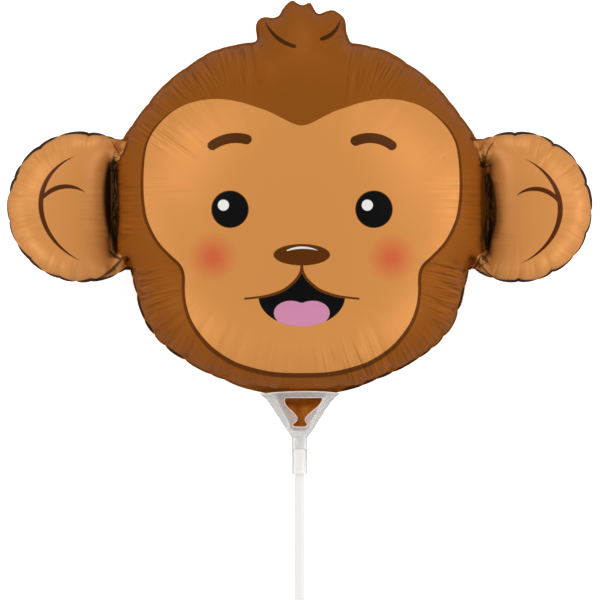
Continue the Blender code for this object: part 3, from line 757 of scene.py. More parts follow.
def makeFoil():
    # both films: the membrane's height read as the foil's section, with puckers, scallops and waves
    layout = foilPlan()
    flat, triangles, outline = layout["points"], layout["triangles"], layout["outline"]
    pinned = isPinned(flat, layout["seam"], layout["welds"] + layout["webs"])
    film = membrane(flat, triangles, pinned)
    print("plan of the foil:", len(flat), "points", len(triangles), "triangles")
    across = np.abs(flat[:, 0])
    inEar = softStep(across, weldX - foil["weldWidth"], weldX + foil["weldWidth"])
    share, half = halfDepth(film, across, inEar)

    # distances from the outline and from the welds, in the plan and over the surface
    toOutline, edgePlace = nearestOnLoop(flat, outline)
    toEdge = np.maximum(toOutline - foil["flange"], 0)
    toWeld, weldAlong = nearestOfLoops(flat, layout["welds"])
    overEdge, overWeld = np.hypot(toEdge, half), np.hypot(toWeld, half)
    nearWeld = toEdge ** 2 / (toEdge ** 2 + toWeld ** 2 + 1e-12)

    # the tuft and the chin stay calm
    blend = pucker["tuftBlend"]
    inTuft = softStep(flat[:, 1], foil["headHeight"] - blend, foil["headHeight"] + blend)
    inTuft *= softStep(-across, -foil["tuftReach"][1], -foil["tuftReach"][0])
    aside, up = pucker["calmChin"]
    calmChin = (1 - softStep(across, *aside)) * (1 - softStep(flat[:, 1], *up))
    lowDown = 1 - softStep(flat[:, 1], *pucker["lowDown"])

    # puckers of the seam and of the welds, each where it is nearer
    total, weldTotal = loopLengths(outline)[1], loopLengths(layout["welds"][0])[1]
    fineStarts = unevenPlaces(total, pucker["finePitch"], pucker["fineSpread"])
    weldStarts = unevenPlaces(weldTotal, pucker["weldPitch"], pucker["weldSpread"])
    weldFine = unevenPlaces(weldTotal, pucker["weldFinePitch"], pucker["weldSpread"])
    seamShift = puckerShift(edgePlace, overEdge, layout["starts"], fineStarts, inTuft, inEar)
    weldShift = puckerShift(weldAlong, overWeld, weldStarts, weldFine, inTuft, inEar)
    fade = (1 - softStep(share, *pucker["fade"])) * ~pinned
    calm = 1 - pucker["lessOnChin"] * calmChin
    shift = fade * (seamShift * (1 - nearWeld) + weldShift * nearWeld) * calm

    moved, wave, phase = scallops(
        flat, layout, edgePlace, toEdge, overEdge, nearWeld, inEar, inTuft, lowDown)
    # painted shade at the edge: dark slivers where the film dips between puckers
    sliverShade = sliverShadeWidth(phase, len(layout["starts"]) - 1, toOutline, overEdge, inEar, lowDown)
    along = np.where(toWeld < toEdge, total + weldAlong, edgePlace)
    over = np.minimum(overEdge, overWeld)
    strength = streakStrength(flat, along, over, total + weldTotal, inEar)
    strength *= clearOfJumps(flat, triangles, along) * (1 - 0.6 * inTuft) * calm
    wave += crumplesAndFolds(flat, toWeld, pinned, layout["welds"])
    sides, faces = twoFilms(moved, wave, half, shift, triangles)

    # the soft back settles on the floor
    points = toWorld(np.vstack(sides))
    points[:, 2] = 0.5 * (points[:, 2] + np.sqrt(points[:, 2] ** 2 + foil["flatSoftness"] ** 2))
    points[:, 2] -= points[:, 2].min()

    # places for the print: as seen from the front, in millimetres; the third number is 1 on the front film
    front, count = sides[0], len(flat)
    middle = np.array(studio["frameCentre"])
    nearer = studio["cameraAway"] / (studio["cameraAway"] - front[:, 2])
    seen = (middle + (front[:, :2] - middle) * nearer[:, None]) * 1000
    ridges = np.column_stack([along * 1000, over * 1000, strength])
    crease, shade = creaseValues(seen)
    return points, faces, {
        "print": np.column_stack([np.vstack([seen, seen]), np.repeat([1.0, 0.0], count)]),
        "outlines": np.tile(printOutlines(seen), (2, 1)),
        "streaks": np.vstack([ridges, ridges * (1, 1, 0.5)]),
        "sliverShade": np.concatenate([sliverShade, sliverShade - pucker["lessBehind"]]) * 1000,
        "earSide": np.tile(earSide(seen), 2),
        "patchLine": np.tile(patchLineWidth(seen), 2),
        "crease": np.tile(crease, (2, 1)),
        "shade": np.tile(shade, (2, 1)),
    }


# Print: outlines of the face as distances, in millimetres, positive inside

faceArt = {
    "axis": 0.9,  # of the face, right of the balloon's own
    "mouthAxis": 1.05,
    # height under which the tail is painted a lighter brown: painted light for the light that the cup keeps
    # from it
    "tailTop": -1.0,
    "blushStrength": 0.94,
    "earLimit": 98,  # from the middle, past which all is ear
    "patchLine": [(12, 2.5), (24, 2.2), (48, 1.6), (96, 1.65), (118, 1.35), (140, 0.9), (150, 0.1)],
    "lobes": 90,  # height over which the patch's line fades towards the axis
    "lobeFade": (40, 66),
    "creaseBand": (95, 16),  # middle and half width of the band with the painted shade of creases and hollows
}

# half of the tan patch from the widow's peak to the chin, right of the axis
patchHalf = np.array([
    (0, 139), (4.9, 140.3), (11, 143.4), (17.2, 146.4), (23.3, 148.5), (29.4, 150.5), (35.6, 151.9),
    (41.7, 152.6), (47.9, 152.4), (54, 151.4), (60.2, 149.4), (66.3, 145.9), (72.2, 140.5), (76.4, 135.0),
    (79.2, 128.5), (80.6, 118.8), (80.9, 108), (80.4, 99.3), (78.6, 90.2), (73.5, 80), (67.2, 73),
    (62.2, 68.3), (60.1, 64.2), (59.6, 59.8), (59.7, 54.8), (58.9, 47.4), (56.3, 39.5), (51.8, 32.4),
    (45.7, 25.7), (37.7, 20.1), (29.5, 16.4), (15.4, 13.0), (0, 12.3),
])

# height, and distance from the middle, of the ears' border
earBorder = [
    (55.0, 99), (57.0, 99), (58.5, 86.0), (62.5, 85.5), (69.1, 90.1), (72.2, 91.1), (75.3, 96.0),
    (117.2, 96.0), (118.3, 94.2), (121.9, 91.9), (128.0, 89.6), (131.0, 88.9), (132.5, 99), (134.0, 99),
]

# right half of the smile's upper edge, from inside the nose to the line's end and on past it
smileHalf = np.array([
    (0.62, 72.0), (0.62, 68.6), (0.72, 66.6), (1.0, 65.0), (1.59, 63.33), (3.07, 60.98), (5.02, 58.93),
    (8.96, 55.76), (13.36, 53.81), (19.71, 52.07), (29.54, 50.84), (36.0, 50.6),
])


def signedDistance(points, loop):
    # distance from a closed loop, positive inside it
    return nearestOnLoop(points, loop)[0] * np.where(isInside(points, loop), 1, -1)


def printOutlines(seen):
    # left half of the smile, right half of the smile, face patch
    axis = np.array([faceArt["axis"], 0])
    patch = np.vstack([patchHalf * (-1, 1), patchHalf[-2:0:-1]])
    patch = smoothCurve(patch + axis, True, 8)
    line = smoothCurve(smileHalf, False, 10)
    below = np.vstack([line, [(60, 40), (60, 0), (-60, 0), (-60, 90), (0.6, 90)]])
    found = [signedDistance(seen, below * (side, 1) + (faceArt["mouthAxis"], 0)) for side in (-1, 1)]
    return np.column_stack(found + [signedDistance(seen, patch)])


def earSide(seen):
    # distance past the border between the head's brown and the ears' tan,
    # which follows the welds and the webs
    border = np.interp(seen[:, 1], *zip(*earBorder))
    aside = np.abs(seen[:, 0])
    return np.maximum(aside - border, aside - faceArt["earLimit"])


def patchLineWidth(seen):
    # the dark line round the patch: widest under the chin, and gone along the top of the lobes
    aside = np.abs(seen[:, 0] - faceArt["axis"])
    width = np.interp(seen[:, 1], *zip(*faceArt["patchLine"]))
    return np.where(seen[:, 1] > faceArt["lobes"], width * softStep(aside, *faceArt["lobeFade"]), width)


# Painted shade along creases and in hollows at the welds, as x, y and half width, in millimetres as seen from
# the front
creases = [
    [(-91.5, 121.9, 0.31), (-93.8, 120.1, 0.56), (-96.0, 117.9, 0.51)],
    [(-95.0, 125.7, 0.15), (-95.4, 121.9, 0.46), (-96.2, 118.0, 0.51)],
    [(-96.1, 130.6, 0.20), (-93.3, 126.0, 0.31), (-91.3, 122.6, 0.36)],
    [(-88.0, 130.0, 0.20), (-89.8, 126.0, 0.36), (-91.2, 122.1, 0.36)],
    [(-97.0, 74.5, 0.61), (-94.8, 72.3, 0.67), (-92.5, 70.9, 0.72), (-90.8, 71.3, 0.51)],
    [
        (-90.8, 70.9, 0.51), (-93.6, 67.8, 0.77), (-96.6, 64.8, 0.82), (-100.5, 62.0, 0.61),
        (-103.8, 60.3, 0.41)],
    [(-96.4, 116.0, 0.46), (-93.1, 116.0, 0.46)],
    [(90.0, 128.0, 0.26), (91.8, 123.4, 0.51), (93.2, 118.3, 0.51)],
    [(92.8, 117.9, 0.26), (95.4, 118.0, 0.41), (97.0, 118.4, 0.26)],
    [(98.9, 130.0, 0.26), (96.4, 126.5, 0.36), (95.2, 122.4, 0.41)],
    [(93.1, 72.4, 0.31), (94.6, 71.2, 1.02), (96.3, 68.9, 0.41)],
    [(92.5, 72.2, 0.36), (91.3, 69.1, 0.51), (88.7, 65.5, 0.51), (85.6, 62.2, 0.41)],
    [(91.8, 68.6, 0.41), (94.6, 65.3, 0.41), (97.7, 62.2, 0.41), (101.0, 60.4, 0.31)],
]
# softness, darkness and course of the painted shade in each hollow
hollowShades = [
    (2.6, 0.95, [
        (-97.4, 119.3, 0.61), (-98.0, 113.7, 1.74), (-98.4, 106.0, 2.20), (-98.3, 98.3, 2.20),
        (-97.7, 91.6, 2.05), (-96.5, 85.5, 1.74), (-95.2, 79.9, 1.33), (-94.2, 73.7, 0.61)]),
    (0.8, 0.95, [(-94.1, 82.4, 0.61), (-94.1, 77.3, 0.67), (-94.0, 73.2, 0.41)]),
    (1.3, 0.80, [(-93.2, 115.7, 0.31), (-92.9, 106.0, 0.36), (-92.7, 93.2, 0.36), (-93.3, 82.9, 0.31)]),
    (1.0, 0.70, [(-88.8, 71.8, 0.51), (-87.2, 67.6, 0.72), (-85.5, 63.0, 0.61)]),
    (1.8, 0.90, [
        (96.1, 113.7, 0.61), (98.7, 109.1, 0.72), (99.8, 102.4, 0.82), (100.3, 95.7, 0.92),
        (100.0, 89.6, 1.13), (98.2, 84.5, 1.54), (96.7, 79.9, 1.64), (96.6, 75.3, 0.82),
        (96.0, 72.7, 0.51)]),
    (3.6, 0.50, [(100.0, 109.1, 0.77), (101.5, 98.8, 1.28), (101.8, 89.6, 1.54), (100.0, 82.4, 1.28)]),
    (1.7, 0.85, [
        (94.8, 113.2, 0.41), (95.4, 106.0, 0.51), (96.2, 98.3, 0.51), (95.6, 90.6, 0.61),
        (94.6, 85.5, 0.72), (94.6, 80.4, 0.61)]),
    (1.0, 0.85, [(94.3, 126.0, 0.41), (94.1, 121.9, 1.13), (94.2, 119.0, 1.23)]),
]
# crumpled strips where the two films are welded, painted with glints of their folds on painted shade
foldedStrips = [
    [
        (-94.9, 116.7, 1.23), (-94.8, 108.5, 1.43), (-94.7, 98.3, 1.43), (-94.5, 89.6, 1.13),
        (-94.2, 81.4, 0.51)],
    [
        (96.2, 113.7, 1.23), (97.1, 107.0, 1.64), (98.1, 99.8, 1.74), (98.0, 92.7, 1.84),
        (96.7, 86.5, 2.15), (96.1, 80.4, 1.54), (96.3, 75.3, 0.72)],
]


def alongCourse(seen, course):
    # distance from an open course with its sign by the side, and the half width at the nearest place
    course = np.array(course)
    fine = smoothCurve(course, False, 6)
    nearest, side, half = np.full(len(seen), 99.0), np.ones(len(seen)), np.zeros(len(seen))
    for start, end in zip(fine, fine[1:]):
        edge = end[:2] - start[:2]
        offset = seen - start[:2]
        share = np.clip(offset @ edge / (edge @ edge), 0, 1)
        gap = np.linalg.norm(offset - share[:, None] * edge, axis=1)
        closer = gap < nearest
        nearest[closer] = gap[closer]
        side[closer] = np.sign(edge[0] * offset[closer, 1] - edge[1] * offset[closer, 0])
        half[closer] = (start[2] + share * (end[2] - start[2]))[closer]
    return nearest, side, half


def creaseValues(seen):
    # signed distance from the nearest crease, distance, half width; and the painted shade in the hollows,
    # and where the folded strips are
    values = np.tile([99.0, 99.0, 0.1], (len(seen), 1))
    shade, strip = np.zeros(len(seen)), np.zeros(len(seen))
    middle, wide = faceArt["creaseBand"]
    near = np.flatnonzero(np.abs(np.abs(seen[:, 0]) - middle) < wide)
    for course in creases:
        gap, side, half = alongCourse(seen[near], course)
        closer = gap < values[near, 1]
        values[near[closer]] = np.column_stack([gap * side, gap, half])[closer]
    for softness, darkness, course in hollowShades:
        gap, _, half = alongCourse(seen[near], course)
        dark = darkness * (1 - softStep(gap - half, -softness / 2, softness / 2))
        shade[near] = np.maximum(shade[near], dark)
    for course in foldedStrips:
        gap, _, half = alongCourse(seen[near], course)
        strip[near] = np.maximum(strip[near], 1 - softStep(gap - half, -0.5, 0.5))
    return values, np.column_stack([shade, strip, 0 * shade])


def meshObject(name, points, faces):
    mesh = bpy.data.meshes.new(name)
    faces = np.asarray(faces)
    mesh.vertices.add(len(points))
    mesh.vertices.foreach_set("co", np.asarray(points, np.float32).ravel())
    mesh.loops.add(faces.size)
    mesh.loops.foreach_set("vertex_index", faces.astype(np.int32).ravel())
    mesh.polygons.add(len(faces))
    mesh.polygons.foreach_set("loop_start", np.arange(len(faces), dtype=np.int32) * faces.shape[1])
    mesh.polygons.foreach_set("use_smooth", np.ones(len(faces), bool))
    mesh.update(calc_edges=True)
    mesh.validate()
    thing = bpy.data.objects.new(name, mesh)
    bpy.context.scene.collection.objects.link(thing)
    return thing


def addAttribute(thing, name, values):
    # a number or a vector for each point
    kind, key = ("FLOAT", "value") if values.ndim == 1 else ("FLOAT_VECTOR", "vector")
    attribute = thing.data.attributes.new(name, kind, "POINT")
    attribute.data.foreach_set(key, np.asarray(values, np.float32).ravel())


# Node helpers

def node(tree, kind, inputs=None, **settings):
    made = tree.nodes.new(kind)
    for key, value in settings.items():
        setattr(made, key, value)
    for key, value in (inputs or {}).items():
        if isinstance(value, bpy.types.NodeSocket):
            tree.links.new(value, made.inputs[key])
        else:
            made.inputs[key].default_value = value
    return made


def maths(tree, operation, *values, clamp=False):
    made = node(tree, "ShaderNodeMath", dict(enumerate(values)), operation=operation, use_clamp=clamp)
    return made.outputs[0]


def vectorMaths(tree, operation, *values):
    made = node(tree, "ShaderNodeVectorMath", dict(enumerate(values)), operation=operation)
    return made.outputs["Value" if operation == "LENGTH" else "Vector"]


def arithmetic(tree):
    # sum, difference, product, quotient, smaller and larger of two values
    kinds = ("ADD", "SUBTRACT", "MULTIPLY", "DIVIDE", "MINIMUM", "MAXIMUM")
    return [partial(maths, tree, kind) for kind in kinds]


def split(tree, vector):
    return node(tree, "ShaderNodeSeparateXYZ", {0: vector}).outputs


def fromMesh(tree, name, output="Fac"):
    return node(tree, "ShaderNodeAttribute", attribute_name=name).outputs[output]


def mapRange(tree, value, fromMin, fromMax, toMin, toMax):
    given = {"Value": value, "From Min": fromMin, "From Max": fromMax, "To Min": toMin, "To Max": toMax}
    return node(tree, "ShaderNodeMapRange", given).outputs[0]


def mixColour(tree, factor, a, b):
    return node(tree, "ShaderNodeMix", {0: factor, 6: a, 7: b}, data_type="RGBA").outputs[2]


def newGroup(name, inputs, outputs):
    group = bpy.data.node_groups.new(name, "ShaderNodeTree")
    for label, value in inputs.items():
        kind = "NodeSocketVector" if isinstance(value, tuple) else "NodeSocketFloat"
        group.interface.new_socket(label, in_out="INPUT", socket_type=kind).default_value = value
    for label, kind in outputs.items():
        group.interface.new_socket(label, in_out="OUTPUT", socket_type=kind)
    return group, node(group, "NodeGroupInput").outputs, node(group, "NodeGroupOutput").inputs


def useGroup(tree, group, **inputs):
    made = node(tree, "ShaderNodeGroup", node_tree=group)
    for label, value in inputs.items():
        if isinstance(value, bpy.types.NodeSocket):
            tree.links.new(value, made.inputs[label])
        else:
            made.inputs[label].default_value = value
    return made.outputs


def newMaterial(name, **values):
    material = bpy.data.materials.new(name)
    material.use_nodes = True
    tree = material.node_tree
    shader = tree.nodes["Principled BSDF"]
    for label, value in values.items():
        shader.inputs[label].default_value = value
    return material, tree, shader


def screenColour(red, green, blue):
    # linear colour of a screen colour given from 0 to 255
    value = np.array([red, green, blue]) / 255
    linear = np.where(value <= 0.04045, value / 12.92, ((value + 0.055) / 1.055) ** 2.4)
    return (*linear.tolist(), 1.0)


def discGroup():
    # mask of a printed ellipse: how far a place lies inside it, over the softness of its edge
    group, given, result = newGroup(
        "printed disc", {"Place": (0, 0, 0), "Centre": (0, 0, 0), "Radii": (1, 1, 1), "Softness": 0.15},
        {"Mask": "NodeSocketFloat"})
    add, less, times, over, smaller = arithmetic(group)[:5]
    offset = vectorMaths(group, "SUBTRACT", given["Place"], given["Centre"])
    reach = vectorMaths(group, "LENGTH", vectorMaths(group, "DIVIDE", offset, given["Radii"]))
    radii = split(group, given["Radii"])
    depth = times(less(1.0, reach), smaller(radii[0], radii[1]))
    group.links.new(add(over(depth, given["Softness"]), 0.5, clamp=True), result["Mask"])
    return group


def strokeGroup():
    # mask of a printed stroke along an arc of an ellipse: half its width at a place's angle,
    # less the distance from the arc, over the softness of its edge
    group, given, result = newGroup(
        "printed stroke", {
            "Place": (0, 0, 0), "Centre": (0, 0, 0), "Radii": (1, 1, 1), "Turn": 0.0, "Middle": 0.0,
            "Spread": 1.0, "Start": 0.0, "Half": 1.0, "End": 0.0, "Softness": 0.15,
        }, {"Mask": "NodeSocketFloat"})
    add, less, times, over, smaller, larger = arithmetic(group)
    offset = vectorMaths(group, "SUBTRACT", given["Place"], given["Centre"])
    turned = node(
        group, "ShaderNodeVectorRotate", {"Vector": offset, "Angle": times(given["Turn"], -1.0)},
        rotation_type="Z_AXIS")
    unit = vectorMaths(group, "DIVIDE", turned.outputs[0], given["Radii"])
    parts, radii = split(group, unit), split(group, given["Radii"])
    radius = times(add(radii[0], radii[1]), 0.5)
    angle = less(maths(group, "ARCTAN2", parts[1], parts[0]), given["Middle"])
    angle = maths(group, "WRAP", angle, math.pi, -math.pi)
    along = larger(smaller(over(angle, given["Spread"]), 1.0), -1.0)

    # distance from the arc, or from its end
    across = times(less(vectorMaths(group, "LENGTH", unit), 1.0), radius)
    past = times(larger(less(maths(group, "ABSOLUTE", angle), given["Spread"]), 0.0), radius)
    distance = maths(group, "SQRT", add(times(across, across), times(past, past)))

    # half width: a parabola through those at the start, the middle and the end
    square = times(along, along)
    start = times(less(square, along), times(given["Start"], 0.5))
    end = times(add(square, along), times(given["End"], 0.5))
    half = add(times(less(1.0, square), given["Half"]), add(start, end))
    inside = over(less(half, distance), given["Softness"])
    group.links.new(add(inside, 0.5, clamp=True), result["Mask"])
    return group


# Print and finish of the film, with its painted shade and light: inks as screen colours
inks = {
    "brown": (139, 77, 22),
    "tan": (209, 140, 74),
    "line": (92, 48, 11),
    "earLine": (86, 38, 2),
    "hair": (66, 36, 8),
    "brow": (80, 41, 5),
    "smile": (100, 50, 10),
    "nose": (92, 47, 9),
    "black": (14, 14, 15),
    "white": (232, 230, 228),
    "tongue": (206, 137, 170),
    "blush": (206, 96, 60),
    # painted shade and light: dark slivers at the edge, shade in the welds' gap and creases, the lighter tail
    # in the cup, the weld strips' shade and the glints of their folds
    "edge": (64, 34, 12),
    "earEdgeShade": (62, 38, 20),
    "gap": (24, 14, 5),
    "tail": (176, 98, 30),
    "strip": (52, 31, 11),
    "foldGlint": (168, 124, 66),
}
# centre x, y and radii, in millimetres as seen from the front
discs = {
    "eyeRims": [(-35.71, 96.15, 9.6, 9.6), (38.02, 96.15, 9.6, 9.6)],
    "eyes": [(-35.71, 96.15, 9.25, 9.25), (38.02, 96.15, 9.25, 9.25)],
    "lights": [(-39.09, 98.25, 2.85, 2.85), (34.59, 98.25, 2.85, 2.85)],
    "nose": [(1.05, 72.86, 14.5, 5.5)],
    "bowl": [(1.05, 51.71, 22.2, 15.56)],
    "tongue": [(-4.53, 43.0, 8.7, 6.3), (6.63, 43.0, 8.7, 6.3), (1.05, 39.2, 12.6, 9.1)],
    "blush": [(-44.52, 71.68, 7.7, 7.7), (47.23, 71.37, 7.7, 7.7)],
}
# centre x, y, radii, turn, first and last angle in degrees, half widths at the first angle, middle and last
strokes = {
    "brows": [
        (-32.65, 111.78, 20.88, 20.88, 0, 74.9, 125.3, 2.6, 2.6, 2.5),
        (35.85, 114.19, 18.45, 18.45, 0, 52.4, 113.1, 2.5, 2.6, 2.6),
    ],
    "hair": [
        (2.53, 201.0, 22.03, 22.03, 0, -157.3, -103.8, 0.1, 0.95, 0.95),
        (8.18, 195.92, 12.91, 12.91, 0, -76.1, -12.5, 0.95, 0.95, 0.1),
    ],
    "ears": [
        (-99.93, 95.93, 33.22, 28.84, -22, 137.4, 267.1, 0.05, 1.2, 0.05),
        (94.86, 95.22, 38.56, 31.0, 4, -64.8, 54.2, 0.05, 1.2, 0.05),
        (-119.31, 91.97, 15.86, 15.86, 0, 53.9, 138.5, 0.05, 1.15, 0.9),
        (120.48, 91.96, 14.63, 14.63, 0, 36.3, 131.0, 0.9, 1.15, 0.05),
    ],
    "noseLight": [(1.36, 55.1, 21.4, 21.4, 0, 68.8, 111.2, 0.05, 0.56, 0.26)],
}
smile = {
    "lineWidth": 1.22,
    "even": 12.0,  # from the middle, where the line starts to thin
    "reach": 29.5,
    "thin": 1.05,
}
# softness of each edge of the print and of the painted shade and light, in millimetres
softness = {
    "print": 0.22,
    "strokes": 0.25,
    "ears": 0.4,
    "patchLine": 0.5,
    "tail": 1.5,
    "blush": 11.0,
    "slivers": 0.35,
    "creases": 0.45,
    "creaseEnds": 0.6,
}
# painted glints of the weld strips' folds, and painted shade along the creases
weldGlintsAndShade = {
    "foldGrain": (1.3, 0.16, 0.0),  # cells of the folds' noise a millimetre
    "foldWidth": 0.05,  # of a fold's painted glint, in the noise's value
    "creaseReach": 1.5,
    "creaseDarkness": 0.8,
}
film = {
    "finish": {
        "Metallic": 0.17,
        "Roughness": 0.42,
        "Specular IOR Level": 0.03,
        "Specular Tint": (0.8, 0.5, 0.26, 1),
        "Coat Roughness": 0.36,
    },
    "coat": (0.03, 0.09, 0.3),  # all over, and more on the face's patch and on the ears
    "crinkleScale": 420.0,
    "crinkleHeight": (0.06, 0.0004),  # strength and distance of the bump
}
streaks = {
    "groups": 70,  # random strengths along the seams
    "headReach": (0.024, 0.036),  # over the surface: of the weakest group, and how much more of the strongest
    "earReach": (0.016, 0.014),
    "ground": (0.10, 0.34),  # strength, likewise
    "fadeFrom": 0.45,  # share of the reach
    "lessOnEars": 0.4,
    "start": (0.001, 0.006),  # distance from the seam over which they begin
    "grain": (0.75, 0.030, 0.0),  # cells a millimetre along the seam and away from it
    "height": 0.0007,  # in metres
    "crestLight": (0.53, 0.66, 0.30),  # noise where the painted highlight of the crests starts and is full, and how much lighter it makes them
    # painted shade in the troughs: noise where it starts and is full, and how much darker it makes them
    "troughShade": (0.44, 0.34, 0.36),
}


def softEdge(tree, value, kind="print"):
    # mask with a soft edge where the value passes zero
    return maths(tree, "ADD", maths(tree, "DIVIDE", value, softness[kind]), 0.5, clamp=True)


def facePrint(tree, front, place, x, y):
    # colour of the print with painted light on the tail inside the cup, and masks of the face's patch and of
    # the ears
    add, less, times, _, smaller, larger = arithmetic(tree)
    soft = partial(softEdge, tree)
    disc, stroke = discGroup(), strokeGroup()
    leftSmile, rightSmile, patch = split(tree, fromMesh(tree, "outlines", "Vector"))

    def discMask(name, kind="print"):
        return reduce(larger, [
            useGroup(tree, disc, Place=place, Centre=(a, b, 0), Radii=(c, d, 1), Softness=softness[kind])[0]
            for a, b, c, d in discs[name]])

    def strokeMask(name):
        masks = []
        for a, b, c, d, turn, first, last, start, half, end in strokes[name]:
            masks.append(useGroup(
                tree, stroke, Place=place, Centre=(a, b, 0), Radii=(c, d, 1), Turn=math.radians(turn),
                Middle=math.radians((first + last) / 2), Spread=math.radians((last - first) / 2),
                Start=start, Half=half, End=end, Softness=softness["strokes"])[0])
        return reduce(larger, masks)

    # smile: a line under its upper edge, and black between it and the bowl
    below = smaller(leftSmile, rightSmile)
    fromAxis = maths(tree, "ABSOLUTE", less(x, faceArt["mouthAxis"]))
    width = mapRange(tree, fromAxis, smile["even"], smile["reach"], smile["lineWidth"], smile["thin"])
    bowl = discMask("bowl")
    line = times(soft(below), soft(less(smile["reach"], fromAxis)))
    line = times(line, soft(less(discs["nose"][0][1], y)))
    line = times(line, soft(less(width, below)))

    # the layers, one over the other
    ear = times(soft(fromMesh(tree, "earSide"), "ears"), front)
    onPatch = times(soft(patch), front)
    patchLine = soft(add(patch, fromMesh(tree, "patchLine")), "patchLine")
    blush = times(discMask("blush", "blush"), faceArt["blushStrength"])
    layers = [
        (ear, "tan"), (times(patchLine, front), "line"), (onPatch, "tan"), (times(blush, front), "blush")]
    layers += [(times(mask, front), ink) for mask, ink in (
        (times(bowl, soft(less(below, width))), "black"), (line, "smile"),
        (times(discMask("tongue"), bowl), "tongue"), (discMask("nose"), "nose"),
        (strokeMask("noseLight"), "white"), (discMask("eyeRims"), "line"), (strokeMask("ears"), "earLine"),
        (strokeMask("brows"), "brow"), (strokeMask("hair"), "hair"), (discMask("eyes"), "black"),
        (discMask("lights"), "white"))]
    # painted light: the tail inside the cup is a lighter brown, standing in for the light that the cup keeps
    # from it
    inCup = soft(less(faceArt["tailTop"], y), "tail")
    colour = mixColour(tree, inCup, screenColour(*inks["brown"]), screenColour(*inks["tail"]))
    for mask, ink in layers:
        colour = mixColour(tree, mask, colour, screenColour(*inks[ink]))
    return colour, onPatch, ear


def seamShadeAndGlints(tree, colour, front, place, ear):
    # painted light and shade at the seams: dark slivers of the edge, glints on shade on the crumpled weld
    # strips, shade in the hollows beside them, and shade along the creases
    less, times = arithmetic(tree)[1:3]
    # painted shade: dark slivers at the edge where the film dips between puckers
    edge = mixColour(tree, ear, screenColour(*inks["edge"]), screenColour(*inks["earEdgeShade"]))
    colour = mixColour(tree, softEdge(tree, fromMesh(tree, "sliverShade"), "slivers"), colour, edge)

    # painted glints of the folds on painted shade, where a stretched noise is near its middle
    hollowShade, onStrip = split(tree, fromMesh(tree, "shade", "Vector"))[:2]
    folds = node(tree, "ShaderNodeTexNoise", {
        "Vector": vectorMaths(tree, "MULTIPLY", place, weldGlintsAndShade["foldGrain"]), "Scale": 1.0, "Detail": 2.0,
        "Distortion": 0.6})
    fromMiddle = maths(tree, "ABSOLUTE", less(folds.outputs["Fac"], 0.5))
    glint = mapRange(tree, fromMiddle, 0.0, weldGlintsAndShade["foldWidth"], 1.0, 0.0)
    paintedStrip = mixColour(tree, glint, screenColour(*inks["strip"]), screenColour(*inks["foldGlint"]))
    colour = mixColour(tree, times(onStrip, front), colour, paintedStrip)
    # painted shade in the hollows beside the welds
    colour = mixColour(tree, times(hollowShade, front), colour, screenColour(*inks["gap"]))

    # painted shade along the creases
    aslant, away, half = split(tree, fromMesh(tree, "crease", "Vector"))
    creaseShade = softEdge(tree, less(half, maths(tree, "ABSOLUTE", aslant)), "creases")
    creaseShade = times(creaseShade, softEdge(tree, less(weldGlintsAndShade["creaseReach"], away), "creaseEnds"))
    creaseShade = times(creaseShade, weldGlintsAndShade["creaseDarkness"])
    return mixColour(tree, times(creaseShade, front), colour, screenColour(*inks["gap"]))


def streakShadingAndRelief(tree):
    # painted highlight on the crests and painted shade in the troughs of a noise stretched square to the
    # seam, as a factor on the print's brightness, and a normal bent by it and by the fine crinkle of the film
    add, less, times = arithmetic(tree)[:3]
    place = node(tree, "ShaderNodeTexCoord").outputs["Object"]
    crinkle = node(tree, "ShaderNodeTexNoise", {
        "Vector": place, "Scale": film["crinkleScale"], "Detail": 3.0, "Roughness": 0.6})
    bend, distance = film["crinkleHeight"]
    fine = node(tree, "ShaderNodeBump", {
        "Height": crinkle.outputs["Fac"], "Strength": bend, "Distance": distance})
    spots = fromMesh(tree, "streaks", "Vector")
    strength = split(tree, spots)[2]
    ridges = node(tree, "ShaderNodeTexNoise", {
        "Vector": vectorMaths(tree, "MULTIPLY", spots, streaks["grain"]), "Scale": 1.0, "Detail": 1.6,
        "Roughness": 0.45, "Distortion": 0.25}).outputs["Fac"]
    paintedCrestLight, paintedTroughShade = (mapRange(tree, ridges, start, full, 0.0, most)
                     for start, full, most in (streaks["crestLight"], streaks["troughShade"]))
    lift = times(less(paintedCrestLight, paintedTroughShade), strength)
    bump = node(tree, "ShaderNodeBump", {
        "Height": times(ridges, strength), "Strength": 1.0, "Distance": streaks["height"],
        "Normal": fine.outputs["Normal"]})
    return add(lift, 1.0), bump.outputs["Normal"]


def printedFoil():
    material, tree, shader = newMaterial("printed foil", **film["finish"])
    add, times = arithmetic(tree)[0:3:2]
    art = fromMesh(tree, "print", "Vector")
    place = vectorMaths(tree, "MULTIPLY", art, (1, 1, 0))
    x, y, front = split(tree, art)
    colour, onPatch, ear = facePrint(tree, front, place, x, y)
    colour = seamShadeAndGlints(tree, colour, front, place, ear)
    # lift carries the painted highlight and shade of the streaks
    lift, normal = streakShadingAndRelief(tree)
    everywhere, patchToo, earsToo = film["coat"]
    gloss = add(add(times(onPatch, patchToo), times(ear, earsToo)), everywhere)
    tree.links.new(gloss, shader.inputs["Coat Weight"])
    tree.links.new(vectorMaths(tree, "MULTIPLY", colour, lift), shader.inputs["Base Color"])
    tree.links.new(normal, shader.inputs["Normal"])
    return material


def archLift(turn, share):
    # height of the rim's arch, and less of it further down: (1 - share)^3 times the sine of the turn
    return cup["rimArch"] * (1 - share) ** 3 * np.sqrt(np.sin(turn) ** 2 + cup["archSoftness"])


